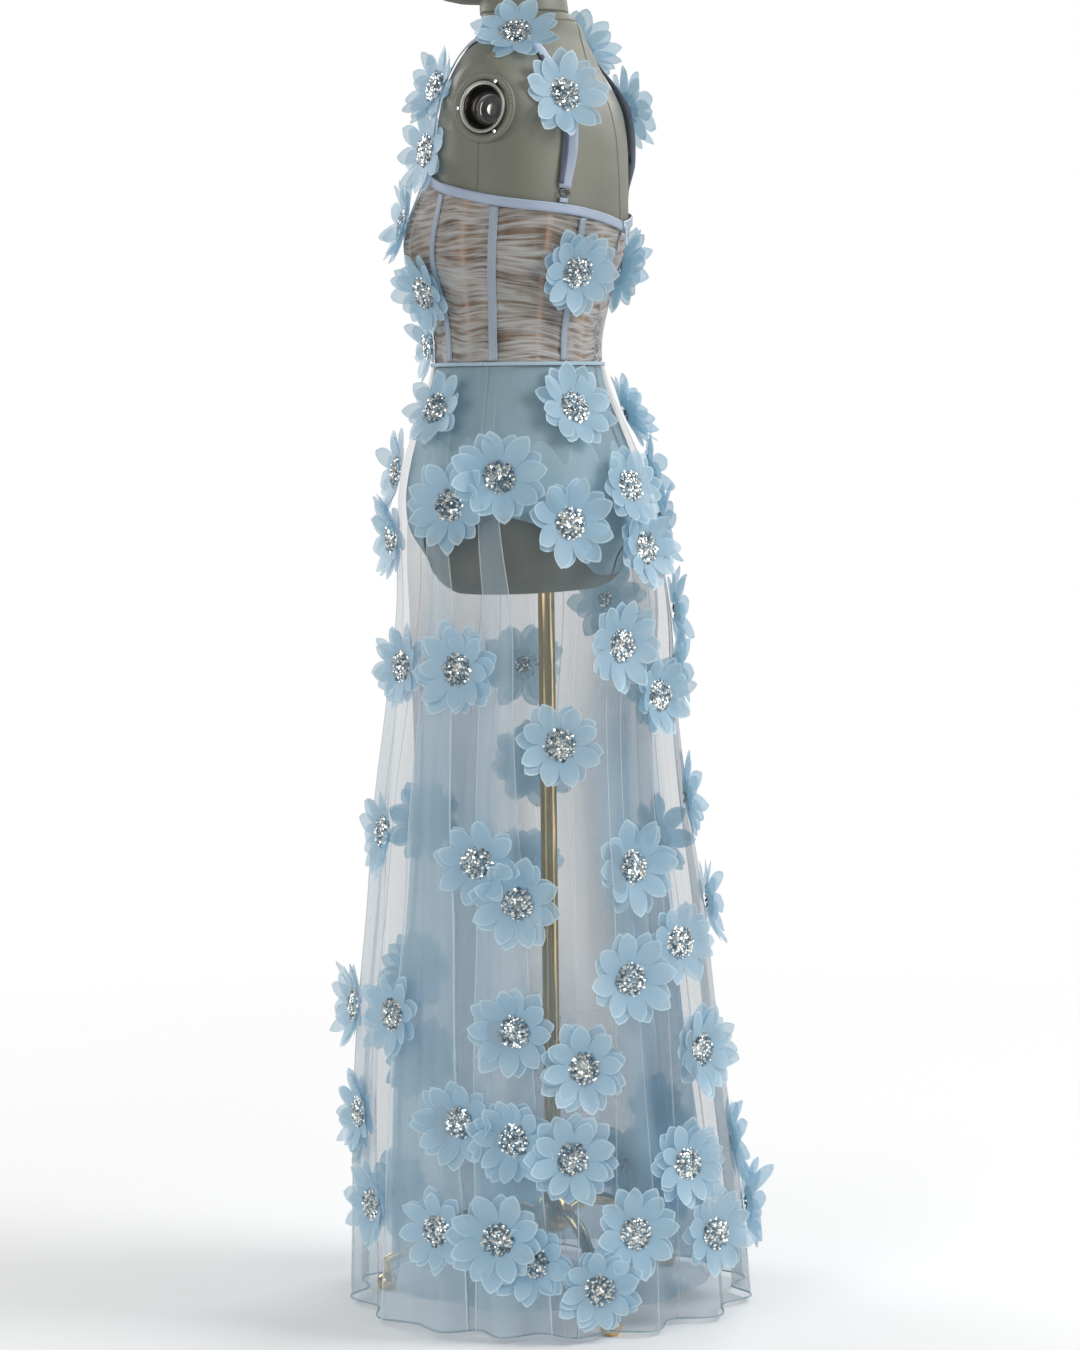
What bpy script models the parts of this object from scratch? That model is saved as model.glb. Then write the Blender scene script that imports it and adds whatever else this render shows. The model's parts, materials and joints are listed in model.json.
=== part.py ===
"""A sleeveless tulle gown with organza flowers, worn by a limbless dress form on a brass tripod stand.

Metres, +Z up. The front faces -Y, the form's left side is +X, and the pole stands on the origin.
Angles round the body start at +X and turn towards +Y, so 90 is centre back and -90 is centre front.
"""

import math

import bmesh
import bpy
import numpy as np
from mathutils import Matrix, Vector
from mathutils.bvhtree import BVHTree

# Main heights
WAIST_Z = 1.000
BASE_Z = 0.765
NECK_Z = 1.3695
HEM_Z = 0.006

# Cloth walls and the air between layers
SKIN_GAP = 0.00095
CLOTH = 0.0015
LAYER_GAP = 0.0008
SEAM_GAP = 0.00015
STEP = 10.0

# Form sections: height, half width, half depth in front, half depth behind, centre line
BODY = np.array(
    [
        (0.7650, 0.142, 0.070, 0.070, -0.0170),
        (0.7710, 0.152, 0.080, 0.080, -0.0174),
        (0.8000, 0.162, 0.095, 0.098, -0.0200),
        (0.8320, 0.169, 0.113, 0.118, -0.0225),
        (0.8600, 0.170, 0.116, 0.119, -0.0230),
        (0.9000, 0.160, 0.110, 0.110, -0.0240),
        (0.9400, 0.142, 0.098, 0.097, -0.0260),
        (0.9700, 0.124, 0.089, 0.088, -0.0275),
        (1.0000, 0.113, 0.083, 0.083, -0.0280),
        (1.0300, 0.113, 0.083, 0.083, -0.0280),
        (1.0600, 0.120, 0.086, 0.087, -0.0260),
        (1.0900, 0.130, 0.088, 0.0925, -0.0240),
        (1.1200, 0.139, 0.089, 0.100, -0.0210),
        (1.1500, 0.146, 0.092, 0.103, -0.0170),
        (1.1800, 0.151, 0.095, 0.098, -0.0120),
        (1.2100, 0.157, 0.095, 0.094, -0.0090),
        (1.2500, 0.165, 0.091, 0.088, -0.0070),
        (1.2800, 0.166, 0.084, 0.078, -0.0060),
        (1.3000, 0.160, 0.074, 0.067, -0.0070),
        (1.3150, 0.147, 0.064, 0.062, -0.0090),
        (1.3300, 0.120, 0.056, 0.060, -0.0110),
        (1.3450, 0.085, 0.050, 0.058, -0.0130),
        (1.3550, 0.064, 0.046, 0.057, -0.0140),
        (1.3695, 0.050, 0.0455, 0.048, -0.0160),
    ]
)
BUST_X = 0.082
BUST_Z = 1.125
BUST_OUT = 0.030

# Head sections: height, half width, half depth, centre line
HEAD = [
    (1.3700, 0.0495, 0.0465, -0.0165),
    (1.3840, 0.0480, 0.0460, -0.0175),
    (1.3880, 0.0440, 0.0660, -0.0400),
    (1.4000, 0.0510, 0.0750, -0.0450),
    (1.4300, 0.0600, 0.0840, -0.0450),
    (1.4700, 0.0700, 0.0920, -0.0400),
    (1.5200, 0.0740, 0.0960, -0.0350),
    (1.5600, 0.0680, 0.0880, -0.0330),
    (1.5850, 0.0500, 0.0640, -0.0330),
    (1.5980, 0.0250, 0.0320, -0.0330),
]

# Skirt outline at the fold crests: height, half width, half depth, centre line
SKIRT = np.array(
    [
        (0.000, 0.218, 0.218, -0.0030),
        (0.104, 0.212, 0.212, -0.0060),
        (0.211, 0.205, 0.204, -0.0120),
        (0.318, 0.198, 0.193, -0.0150),
        (0.425, 0.192, 0.181, -0.0150),
        (0.532, 0.188, 0.168, -0.0180),
        (0.638, 0.186, 0.154, -0.0160),
        (0.745, 0.185, 0.143, -0.0120),
        (0.832, 0.184, 0.133, -0.0190),
        (0.880, 0.177, 0.1275, -0.0220),
        (0.940, 0.153, 0.108, -0.0260),
        (0.980, 0.1268, 0.0938, -0.0275),
        (1.0045, 0.1184, 0.0884, -0.0280),
    ]
)
SKIRT_ROWS = [1.0045, 0.972, 0.932, 0.882, 0.810, 0.640, 0.430, 0.211, HEM_Z]

# Skirt folds: angle of the crest, depth of the trough after it at the hem
FOLDS = [
    (-90, 0.018),
    (-66, 0.020),
    (-38, 0.014),
    (-14, 0.024),
    (4, 0.022),
    (25, 0.016),
    (47, 0.030),
    (72, 0.020),
    (98, 0.022),
    (122, 0.018),
    (148, 0.014),
    (172, 0.024),
    (196, 0.020),
    (220, 0.026),
    (246, 0.016),
]

# Bodice top edge: angle, height (the same on both sides)
TOP_EDGE = [(-90, 1.178), (-72, 1.190), (-58, 1.203), (-29, 1.188), (7, 1.173), (56, 1.162), (90, 1.150)]
CHANNELS = [-62, -29, 7, 56]
CHANNEL_W = 0.009
BINDING_H = 0.010
ZIP_HALF = 1.1
ZIP_LOW = 0.885

# Straps: half width, then rows of x and either a height or a turn over the shoulder in degrees
STRAP_HALF = 0.0072
STRAP_OUT = 0.0019
SHOULDER_Y = -0.012
SHOULDER_Z = 1.255
STRAP_FRONT = [
    (0.094, 1.2038, None),
    (0.095, 1.2180, None),
    (0.097, 1.2350, None),
    (0.098, None, 0),
    (0.098, None, 18),
    (0.098, None, 34),
    (0.098, None, 48),
    (0.098, None, 60),
    (0.097, None, 72),
    (0.097, None, 84),
]
STRAP_BACK = [
    (0.097, None, 85),
    (0.097, None, 98),
    (0.098, None, 110),
    (0.099, None, 122),
    (0.100, None, 135),
    (0.101, None, 150),
    (0.102, None, 166),
    (0.103, None, 180),
    (0.104, 1.2350, None),
    (0.105, 1.2100, None),
    (0.106, 1.1815, None),
]
RING_Z = 1.1760
SLIDER_Z = {"left": 1.250, "right": 1.222}
SLIDER_OUT = {"left": 0.0043, "right": 0.0048}

# Flowers on the skirt: height, angle, diameter, spin in degrees
SKIRT_FLOWERS = [
    (0.955, -27, 0.084, 5),
    (0.955, 55, 0.092, 12),
    (0.858, -10, 0.094, 30),
    (0.885, 13, 0.098, 8),
    (0.838, 42, 0.096, 20),
    (0.808, 80, 0.092, 4),
    (0.872, 76, 0.086, 33),
    (0.948, 112, 0.084, 17),
    (0.885, 106, 0.090, 25),
    (0.825, 106, 0.092, 10),
    (0.740, 99, 0.094, 38),
    (0.675, 112, 0.090, 3),
    (0.890, -66, 0.090, 14),
    (0.822, -62, 0.094, 27),
    (0.690, -9, 0.098, 2),
    (0.690, -38, 0.088, 19),
    (0.710, 60, 0.096, 31),
    (0.655, 78, 0.086, 9),
    (0.612, 31, 0.090, 22),
    (0.540, 106, 0.096, 12),
    (0.512, -51, 0.092, 35),
    (0.480, 58, 0.100, 6),
    (0.492, 0, 0.088, 28),
    (0.450, 13, 0.092, 16),
    (0.430, 99, 0.094, 1),
    (0.398, 71, 0.086, 24),
    (0.368, 49, 0.098, 11),
    (0.330, -117, 0.092, 30),
    (0.328, -33, 0.088, 7),
    (0.320, -69, 0.094, 21),
    (0.318, 11, 0.092, 36),
    (0.280, 32, 0.094, 13),
    (0.280, 82, 0.096, 26),
    (0.232, -120, 0.090, 4),
    (0.212, -58, 0.092, 18),
    (0.222, -8, 0.090, 32),
    (0.208, 10, 0.088, 10),
    (0.190, 26, 0.096, 23),
    (0.165, 160, 0.092, 40),
    (0.170, 104, 0.098, 15),
    (0.168, 66, 0.092, 29),
    (0.100, 173, 0.096, 8),
    (0.074, 163, 0.092, 21),
    (0.120, -46, 0.094, 34),
    (0.112, -14, 0.086, 2),
    (0.108, 4, 0.098, 20),
    (0.082, 13, 0.086, 37),
    (0.108, 43, 0.098, 5),
    (0.094, 72, 0.092, 25),
    (0.054, 32, 0.090, 17),
    (0.104, 100, 0.094, 31),
    (0.500, -117, 0.094, 9),
    (0.742, 172, 0.092, 22),
    (0.670, -153, 0.094, 14),
    (0.640, 148, 0.090, 33),
    (0.875, 168, 0.096, 12),
    (0.880, 232, 0.090, 6),
    (0.800, 216, 0.094, 24),
    (0.560, 200, 0.096, 27),
    (0.480, 150, 0.092, 38),
    (0.440, 205, 0.096, 20),
    (0.250, 205, 0.092, 8),
    (0.080, 208, 0.092, 10),
    (0.085, 250, 0.094, 35),
    (0.180, 278, 0.092, 15),
]

# Flowers on the bodice, the same columns
BODICE_FLOWERS = [
    (1.098, 56.2, 0.092, 10),
    (1.150, -72, 0.092, 24),
    (1.078, -40, 0.084, 3),
    (1.026, -77, 0.080, 17),
    (1.150, 252, 0.092, 31),
    (1.085, 266, 0.090, 12),
    (1.075, 222, 0.088, 6),
    (1.105, 131, 0.092, 20),
    (1.050, 184, 0.086, 29),
]

# Flowers along each strap: share of the way from its start, diameter, spin
STRAP_FRONT_FLOWERS = [(0.16, 0.092, 8), (0.52, 0.084, 30)]
STRAP_BACK_FLOWERS = [(0.06, 0.090, 15), (0.46, 0.092, 37)]

# Stand
POLE_R = 0.0088
FOOT_R = 0.011
FOOT_AT = 0.186
LEG_ANGLES = [36, 156, 276]

# Arm fitting
ARM_Y = -0.008
ARM_Z = 1.262
ARM_TURN = -12


def clear_scene():
    for obj in list(bpy.data.objects):
        bpy.data.objects.remove(obj, do_unlink=True)


def collection(name, hidden=False):
    made = bpy.data.collections.new(name)
    bpy.context.scene.collection.children.link(made)
    made.hide_render = hidden
    return made


def material(name, colour, metallic=0.0, roughness=0.6):
    made = bpy.data.materials.new(name)
    made.use_nodes = True
    shader = made.node_tree.nodes["Principled BSDF"]
    shader.inputs["Base Color"].default_value = (*colour, 1.0)
    shader.inputs["Metallic"].default_value = metallic
    shader.inputs["Roughness"].default_value = roughness
    made.diffuse_color = (*colour, 1.0)
    return made


def solid(name, points, faces, mat, into):
    """A mesh object from points and faces, with its faces turned outwards."""
    mesh = bpy.data.meshes.new(name)
    mesh.from_pydata([tuple(p) for p in points], [], faces)
    shape = bmesh.new()
    shape.from_mesh(mesh)
    bmesh.ops.recalc_face_normals(shape, faces=shape.faces)
    bmesh.ops.triangulate(shape, faces=shape.faces)
    shape.to_mesh(mesh)
    shape.free()
    mesh.materials.append(mat)
    obj = bpy.data.objects.new(name, mesh)
    into.objects.link(obj)
    return obj


def loft(name, rings, mat, into):
    """A solid through closed rings that all have the same number of points."""
    count = len(rings[0])
    points = [p for ring in rings for p in ring]
    faces = []
    for r in range(len(rings) - 1):
        for i in range(count):
            j = (i + 1) % count
            faces.append((r * count + i, r * count + j, (r + 1) * count + j, (r + 1) * count + i))
    last = (len(rings) - 1) * count
    faces.append(tuple(range(count)))
    faces.append(tuple(range(last, last + count)))
    return solid(name, points, faces, mat, into)


def slab(name, outer, inner, mat, into):
    """A wall between two grids of points, closed along its four edges."""
    rows = len(outer)
    cols = len(outer[0])
    points = [p for row in outer for p in row] + [p for row in inner for p in row]
    back = rows * cols
    faces = []
    for r in range(rows - 1):
        for c in range(cols - 1):
            a = r * cols + c
            faces.append((a, a + 1, a + cols + 1, a + cols))
            faces.append((back + a, back + a + cols, back + a + cols + 1, back + a + 1))
    for r in range(rows - 1):
        for c in (0, cols - 1):
            a = r * cols + c
            faces.append((a, a + cols, back + a + cols, back + a))
    for c in range(cols - 1):
        for r in (0, rows - 1):
            a = r * cols + c
            faces.append((a, a + 1, back + a + 1, back + a))
    return solid(name, points, faces, mat, into)


def bust(x, z):
    """How far the breasts stand out at this place."""
    side = math.exp(-(((abs(x) - BUST_X) / 0.052) ** 2))
    below = 0.046 if z < BUST_Z else 0.060
    return BUST_OUT * side * math.exp(-(((z - BUST_Z) / below) ** 2))


def section_point(row, angle, out):
    """A point of one form section, moved outwards by out."""
    z, half_w, front, behind, centre = row
    c = math.cos(math.radians(angle))
    s = math.sin(math.radians(angle))
    depth = behind if s > 0 else front
    x = half_w * c
    y = centre + depth * s
    if s < 0:
        y -= bust(x, z) * min(1.0, -s * 1.6)
    nx = c / half_w
    ny = s / depth
    length = math.hypot(nx, ny)
    return Vector((x + out * nx / length, y + out * ny / length, z))


def body_point(angle, z, out=0.0):
    """A point of the form's skin at an angle and height, straight between the two nearest sections."""
    i = min(max(int(np.searchsorted(BODY[:, 0], z)) - 1, 0), len(BODY) - 2)
    t = (z - BODY[i, 0]) / (BODY[i + 1, 0] - BODY[i, 0])
    return section_point(BODY[i], angle, out).lerp(section_point(BODY[i + 1], angle, out), t)


def steps(start, end):
    """The angles of the shared grid between two ends, with both ends."""
    first = math.floor(start / STEP) + 1
    inner = [k * STEP for k in range(first, math.ceil(end / STEP))]
    inner = [a for a in inner if a - start > 1.2 and end - a > 1.2]
    return [start, *inner, end]


def top_edge(angle):
    """The height of the bodice's top edge."""
    turned = (angle + 90) % 360 - 90
    if turned > 90:
        turned = 180 - turned
    table = np.array(TOP_EDGE)
    return float(np.interp(turned, table[:, 0], table[:, 1]))


def levels(bottom, top, known):
    """Heights from bottom to top with every known section between them, squeezed where it lies outside."""
    count = len(known)
    found = [bottom]
    for k, z in enumerate(known):
        lowest = bottom + 0.0015 * (k + 1)
        highest = top - 0.0015 * (count - k)
        found.append(max(min(z, highest), lowest))
    return [*found, top]


def body_panel(name, start, end, low, high, out, thick, mat, into, sections=True):
    """A wall on the form from start to end angle, between two heights that follow the angle."""
    grid = steps(start, end)
    least = min(low(a) for a in grid) + 0.002
    most = max(high(a) for a in grid) - 0.002
    known = [z for z in BODY[:, 0] if least < z < most and sections]
    columns = [levels(low(a), high(a), known) for a in grid]
    rows = range(len(columns[0]))
    outer = [[body_point(a, columns[i][r], out + thick) for i, a in enumerate(grid)] for r in rows]
    inner = [[body_point(a, columns[i][r], out) for i, a in enumerate(grid)] for r in rows]
    return slab(name, outer, inner, mat, into)


def fold_list():
    """The crests and troughs round the skirt as angle and depth, turned to one full round."""
    marks = []
    for i, (crest, depth) in enumerate(FOLDS):
        following = FOLDS[i + 1][0] if i + 1 < len(FOLDS) else FOLDS[0][0] + 360
        marks.append((crest, 0.0))
        marks.append(((crest + following) / 2, depth))
    marks.append((FOLDS[0][0] + 360, 0.0))
    return marks


MARKS = fold_list()


def skirt_point(angle, z, out=0.0):
    """A point of the skirt's outer face at an angle and height."""
    half_w, half_d, centre = (np.interp(z, SKIRT[:, 0], SKIRT[:, i]) for i in (1, 2, 3))
    turned = (angle + 90) % 360 - 90
    at = [m[0] for m in MARKS]
    i = min(max(int(np.searchsorted(at, turned, side="right")) - 1, 0), len(MARKS) - 2)
    t = (turned - at[i]) / (at[i + 1] - at[i])
    wave = (1 - math.cos(math.pi * t)) / 2
    depth = MARKS[i][1] + (MARKS[i + 1][1] - MARKS[i][1]) * wave
    fall = max(0.0, min(1.0, (0.96 - z) / 0.96)) ** 0.8
    c = math.cos(math.radians(angle))
    s = math.sin(math.radians(angle))
    shrink = out - depth * fall
    nx = c / half_w
    ny = s / half_d
    length = math.hypot(nx, ny)
    return Vector((half_w * c + shrink * nx / length, centre + half_d * s + shrink * ny / length, z))


def skirt_angles(start, end):
    """Every crest and trough between two ends, with halfway angles on the left side, and both ends."""
    marks = [m[0] for m in MARKS]
    halves = [(a + b) / 2 for a, b in zip(marks, marks[1:])]
    fine = sorted(set(marks + [a for a in halves if a < 112]))
    fine = [a + turn for turn in (-360, 0, 360) for a in fine]
    return [start, *sorted({a for a in fine if a - start > 1.0 and end - a > 1.0}), end]


def skirt_panel(name, start, end, mat, into):
    """One width of the skirt from the waist seam to the hem."""
    grid = skirt_angles(start, end)
    outer = [[skirt_point(a, z) for a in grid] for z in SKIRT_ROWS]
    inner = [[skirt_point(a, z, -CLOTH) for a in grid] for z in SKIRT_ROWS]
    return slab(name, outer, inner, mat, into)


clear_scene()
gown = collection("tulle_gown_on_dress_form")
helpers = collection("cutters", hidden=True)

tulle = material("blue_tulle", (0.42, 0.56, 0.66))
mesh_cloth = material("ruched_mesh", (0.33, 0.31, 0.29))
satin = material("blue_satin", (0.36, 0.48, 0.66), roughness=0.35)
knit = material("blue_lining", (0.27, 0.38, 0.46))
organza = material("blue_organza", (0.38, 0.58, 0.78))
vinyl = material("grey_form_cover", (0.31, 0.32, 0.26), roughness=0.5)
chrome = material("chrome", (0.75, 0.75, 0.77), 1.0, 0.15)
brass = material("brass", (0.60, 0.42, 0.20), 1.0, 0.3)
dark_metal = material("dark_metal", (0.10, 0.11, 0.14), 1.0, 0.3)


# Form: the torso through its sections, with the arm cuts flat
def arm_normal(side):
    turn = math.radians(ARM_TURN)
    return Vector((side * math.cos(turn), math.sin(turn), 0.06)).normalized()


ARM_FLAT = 0.158


def arm_flat(point):
    """Presses a point of the shoulder onto the flat arm cut."""
    side = 1 if point.x > 0 else -1
    n = arm_normal(side)
    centre = Vector((side * ARM_FLAT, ARM_Y, ARM_Z))
    over = (point - centre).dot(n)
    if over > 0 and point.z > 1.17:
        return point - n * over
    return point


ring_angles = [k * STEP for k in range(round(360 / STEP))]
torso_rings = [[arm_flat(body_point(a, z)) for a in ring_angles] for z in BODY[:, 0]]
torso = loft("form_torso", torso_rings, vinyl, gown)

head_rings = []
for z, half_w, half_d, centre in HEAD:
    ring = []
    for k in range(20):
        a = math.radians(18 * k)
        narrow = 1 - 0.22 * max(0.0, -math.sin(a)) * (1.388 <= z < 1.5)
        ring.append(Vector((half_w * narrow * math.cos(a), centre + half_d * math.sin(a), z)))
    head_rings.append(ring)
loft("form_head", head_rings, vinyl, gown)


def disc_rings(centre, normal, profile, count):
    """Rings round an axis: profile rows are distance along the axis and radius."""
    turn = Vector((0, 0, 1)).rotation_difference(normal).to_matrix()
    rings = []
    for along, radius in profile:
        ring = []
        for k in range(count):
            a = 2 * math.pi * k / count
            ring.append(centre + turn @ Vector((radius * math.cos(a), radius * math.sin(a), along)))
        rings.append(ring)
    return rings


SIDES = [("left", 1), ("right", -1)]
for side_name, side in SIDES:
    n = arm_normal(side)
    seat = Vector((side * ARM_FLAT, ARM_Y, ARM_Z))
    plate = [(0.0004, 0.036), (0.0030, 0.036), (0.0042, 0.033), (0.0042, 0.0282), (0.0004, 0.0282)]
    rings = disc_rings(seat, n, plate, 20)
    count = 20
    points = [p for ring in rings for p in ring]
    faces = []
    for r in range(5):
        for i in range(count):
            j = (i + 1) % count
            up = (r + 1) % 5
            faces.append((r * count + i, r * count + j, up * count + j, up * count + i))
    solid(f"arm_plate_{side_name}", points, faces, vinyl, gown)
    cup = [
        (-0.0165, 0.0150),
        (-0.0150, 0.0220),
        (-0.0060, 0.0260),
        (0.0062, 0.0266),
        (0.0074, 0.0250),
        (0.0064, 0.0222),
        (-0.0040, 0.0205),
        (-0.0110, 0.0150),
        (-0.0135, 0.0060),
    ]
    pocket = loft(f"arm_pocket_{side_name}", disc_rings(seat, n, [(-0.0174, 0.0270), (0.0100, 0.0270)], 20), vinyl, helpers)
    pocket.display_type = "WIRE"
    pocket.hide_render = True
    cut = torso.modifiers.new(f"pocket_{side_name}", "BOOLEAN")
    cut.operation = "DIFFERENCE"
    cut.solver = "EXACT"
    cut.object = pocket
    loft(f"arm_socket_{side_name}", disc_rings(seat, n, cup, 20), chrome, gown)


# Stand: pole, hub, three bowed legs and their feet
def bar(name, points, radii, mat, into, resolution=2):
    """A round bar along points, as a bevelled curve with a radius at each point."""
    curve = bpy.data.curves.new(name, "CURVE")
    curve.dimensions = "3D"
    curve.bevel_depth = 1.0
    curve.bevel_resolution = resolution
    curve.use_fill_caps = True
    line = curve.splines.new("POLY")
    line.points.add(len(points) - 1)
    for point, at, radius in zip(line.points, points, radii):
        point.co = (*at, 1.0)
        point.radius = radius
    curve.materials.append(mat)
    obj = bpy.data.objects.new(name, curve)
    into.objects.link(obj)
    return obj


HUB_Z = 0.072
bar("stand_pole", [(0, 0, 0.1105), (0, 0, 0.7645)], [POLE_R] * 2, brass, gown)
hub_rows = [(HUB_Z, 0.012), (HUB_Z + 0.004, 0.019), (HUB_Z + 0.030, 0.019), (HUB_Z + 0.038, 0.013)]
loft("stand_hub", disc_rings(Vector((0, 0, 0)), Vector((0, 0, 1)), hub_rows, 16), brass, gown)
LEG_LINE = [(0.0207, 0.090), (0.050, 0.096), (0.088, 0.090), (0.125, 0.066), (0.160, 0.044), (0.184, 0.033), (0.186, 0.0188)]
LEG_RADII = [0.0072, 0.0072, 0.0068, 0.0062, 0.0056, 0.0050, 0.0046]
FOOT_ROWS = [(0.0, 0.0075), (0.004, 0.0105), (0.010, 0.0115), (0.015, 0.0095), (0.018, 0.0050)]
for k, angle in enumerate(LEG_ANGLES, 1):
    c = math.cos(math.radians(angle))
    s = math.sin(math.radians(angle))
    bar(f"stand_leg_{k}", [(r * c, r * s, z) for r, z in LEG_LINE], LEG_RADII, brass, gown)
    foot = disc_rings(Vector((FOOT_AT * c, FOOT_AT * s, 0)), Vector((0, 0, 1)), FOOT_ROWS, 12)
    loft(f"stand_foot_{k}", foot, brass, gown)

# Bodice: ruched panels between the bone channels
BODICE_OUT = SKIN_GAP


def waist(angle):
    return WAIST_Z + 0.0002


def seam_shift(angle):
    """The angle that half a seam gap covers at the body's side."""
    return math.degrees(SEAM_GAP / 0.10)


edges = [-90 - 28, -62, -29, 7, 56, 90 - ZIP_HALF]
gap = seam_shift(0)
names = ["bodice_front", "bodice_side_front", "bodice_side_back", "bodice_back"]
panels = {}
panels["bodice_centre_front"] = body_panel(
    "bodice_centre_front", -118 + gap, -62 - gap, waist, top_edge, BODICE_OUT, CLOTH, mesh_cloth, gown
)
for name, start, end in zip(names, edges[1:], edges[2:]):
    panels[f"{name}_left"] = body_panel(
        f"{name}_left", start + gap, end - gap, waist, top_edge, BODICE_OUT, CLOTH, mesh_cloth, gown
    )
    panels[f"{name}_right"] = body_panel(
        f"{name}_right", 180 - end + gap, 180 - start - gap, waist, top_edge, BODICE_OUT, CLOTH, mesh_cloth, gown
    )

# Bone channels on the seams, from the waist seam to the top binding
CHANNEL_OUT = BODICE_OUT + CLOTH + LAYER_GAP


def channel_low(angle):
    return WAIST_Z + 0.0055


def channel_high(angle):
    return top_edge(angle) - BINDING_H - 0.0006


for k, angle in enumerate(CHANNELS, 1):
    for side_name, side in SIDES:
        middle = angle if side > 0 else 180 - angle
        here = body_point(middle, 1.08)
        centre = np.interp(1.08, BODY[:, 0], BODY[:, 4])
        spread = math.degrees(CHANNEL_W / 2 / math.hypot(here.x, here.y - centre))
        panels[f"bone_channel_{k}_{side_name}"] = body_panel(
            f"bone_channel_{k}_{side_name}",
            middle - spread,
            middle + spread,
            channel_low,
            channel_high,
            CHANNEL_OUT,
            0.0012,
            satin,
            gown,
        )


# Top binding round the bodice, open at the zip
def binding_low(angle):
    return top_edge(angle) - BINDING_H


body_panel(
    "top_binding",
    90 + ZIP_HALF - 360,
    90 - ZIP_HALF,
    binding_low,
    lambda angle: top_edge(angle) + 0.0006,
    CHANNEL_OUT,
    CLOTH,
    satin,
    gown,
    sections=False,
)

# Zip: coil between the back edges, slider and pull
body_panel(
    "zip_coil",
    90 - ZIP_HALF + gap,
    90 + ZIP_HALF - gap,
    lambda angle: ZIP_LOW,
    lambda angle: 1.1490,
    SKIN_GAP,
    CLOTH,
    satin,
    gown,
)


def back_box(name, low, high, half, near, far, mat, into):
    """A box on the centre back that follows the form's slope."""
    rings = []
    for z in (low, high):
        skin = body_point(90, z).y
        rings.append(
            [
                Vector((-half, skin + near, z)),
                Vector((half, skin + near, z)),
                Vector((half, skin + far, z)),
                Vector((-half, skin + far, z)),
            ]
        )
    return loft(name, rings, mat, into)


back_box("zip_slider", 1.1385, 1.1490, 0.0030, 0.0052, 0.0076, satin, gown)
PULL_TOP = 1.1455
PULL_ROWS = [(0.0, 0.0016), (0.003, 0.0030), (0.010, 0.0038), (0.016, 0.0042), (0.0195, 0.0028), (0.021, 0.0010)]
pull_y = body_point(90, PULL_TOP).y + 0.0080
pull_rings = []
for down, half in PULL_ROWS:
    z = PULL_TOP - down
    pull_rings.append(
        [
            Vector((-half, pull_y, z)),
            Vector((half, pull_y, z)),
            Vector((half, pull_y + 0.0012, z)),
            Vector((-half, pull_y + 0.0012, z)),
        ]
    )
loft("zip_pull", pull_rings, satin, gown)


# Brief under the tulle: high leg opening at the side, down to the base in front and behind
def leg_edge(angle):
    """The height of the brief's lower edge: highest at the side, at the form's base in the middle."""
    turned = (angle + 90) % 360 - 90
    if turned > 90:
        turned = 180 - turned
    table = [(-90, 0.779), (-68, 0.781), (-48, 0.806), (-26, 0.838), (-5, 0.848), (20, 0.844), (48, 0.818), (72, 0.783), (90, 0.779)]
    table = np.array(table)
    return float(np.interp(turned, table[:, 0], table[:, 1]))


def brief_top(angle):
    return WAIST_Z - 0.0004


SIDE_SEAM = 4
body_panel(
    "brief_front", -180 - SIDE_SEAM + gap, SIDE_SEAM - gap, leg_edge, brief_top, SKIN_GAP, CLOTH, knit, gown
)


def brief_back(name, start, end):
    """A back half of the brief, notched beside the zip."""
    return body_panel(name, start, end, leg_edge, brief_top, SKIN_GAP, CLOTH, knit, gown)


brief_back("brief_back_left", SIDE_SEAM + gap, 90 - ZIP_HALF)
brief_back("brief_back_right", 90 + ZIP_HALF, 180 - SIDE_SEAM - gap)

# Skirt: four widths, seamed in the fold troughs nearest to front, back and sides
gap_s = 0.08
panels["skirt_front_left"] = skirt_panel("skirt_front_left", -78 + gap_s, 21.5 - gap_s, tulle, gown)
panels["skirt_back_left"] = skirt_panel("skirt_back_left", 21.5 + gap_s, 85 - gap_s, tulle, gown)
panels["skirt_back_right"] = skirt_panel("skirt_back_right", 85 + gap_s, 184 - gap_s, tulle, gown)
panels["skirt_front_right"] = skirt_panel("skirt_front_right", 184 + gap_s, 282 - gap_s, tulle, gown)

# Straps: bands pressed onto the form over each shoulder
torso_tree = BVHTree.FromPolygons(
    [v.co.copy() for v in torso.data.vertices], [tuple(p.vertices) for p in torso.data.polygons]
)


def pressed(x, z, turn, behind):
    """The skin point on the line that looks in at a strap guide row, and the way that the line comes from."""
    if turn is None:
        away = Vector((0, 1 if behind else -1, 0))
        aim = Vector((x, SHOULDER_Y, z))
    else:
        away = Vector((0, -math.cos(math.radians(turn)), math.sin(math.radians(turn))))
        aim = Vector((x, SHOULDER_Y, SHOULDER_Z))
    hit, _, _, _ = torso_tree.ray_cast(aim + away * 0.3, -away)
    return hit, away


def strap(name, guides, side, behind, mat, into):
    """A band on the form along guide rows, with both edges pressed onto it."""
    edges_of = []
    for x, z, turn in guides:
        edges_of.append([pressed(side * x + w, z, turn, behind) for w in (-STRAP_HALF, STRAP_HALF)])
    outer = []
    inner = []
    for i, pair in enumerate(edges_of):
        before = edges_of[max(i - 1, 0)]
        after = edges_of[min(i + 1, len(edges_of) - 1)]
        along = (after[0][0] + after[1][0] - before[0][0] - before[1][0]).normalized()
        across = (pair[1][0] - pair[0][0]).normalized()
        up = across.cross(along).normalized()
        if up.dot(pair[0][1]) < 0:
            up = -up
        inner.append([hit + up * STRAP_OUT for hit, _ in pair])
        outer.append([hit + up * (STRAP_OUT + CLOTH) for hit, _ in pair])
    return slab(name, outer, inner, mat, into)


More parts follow.
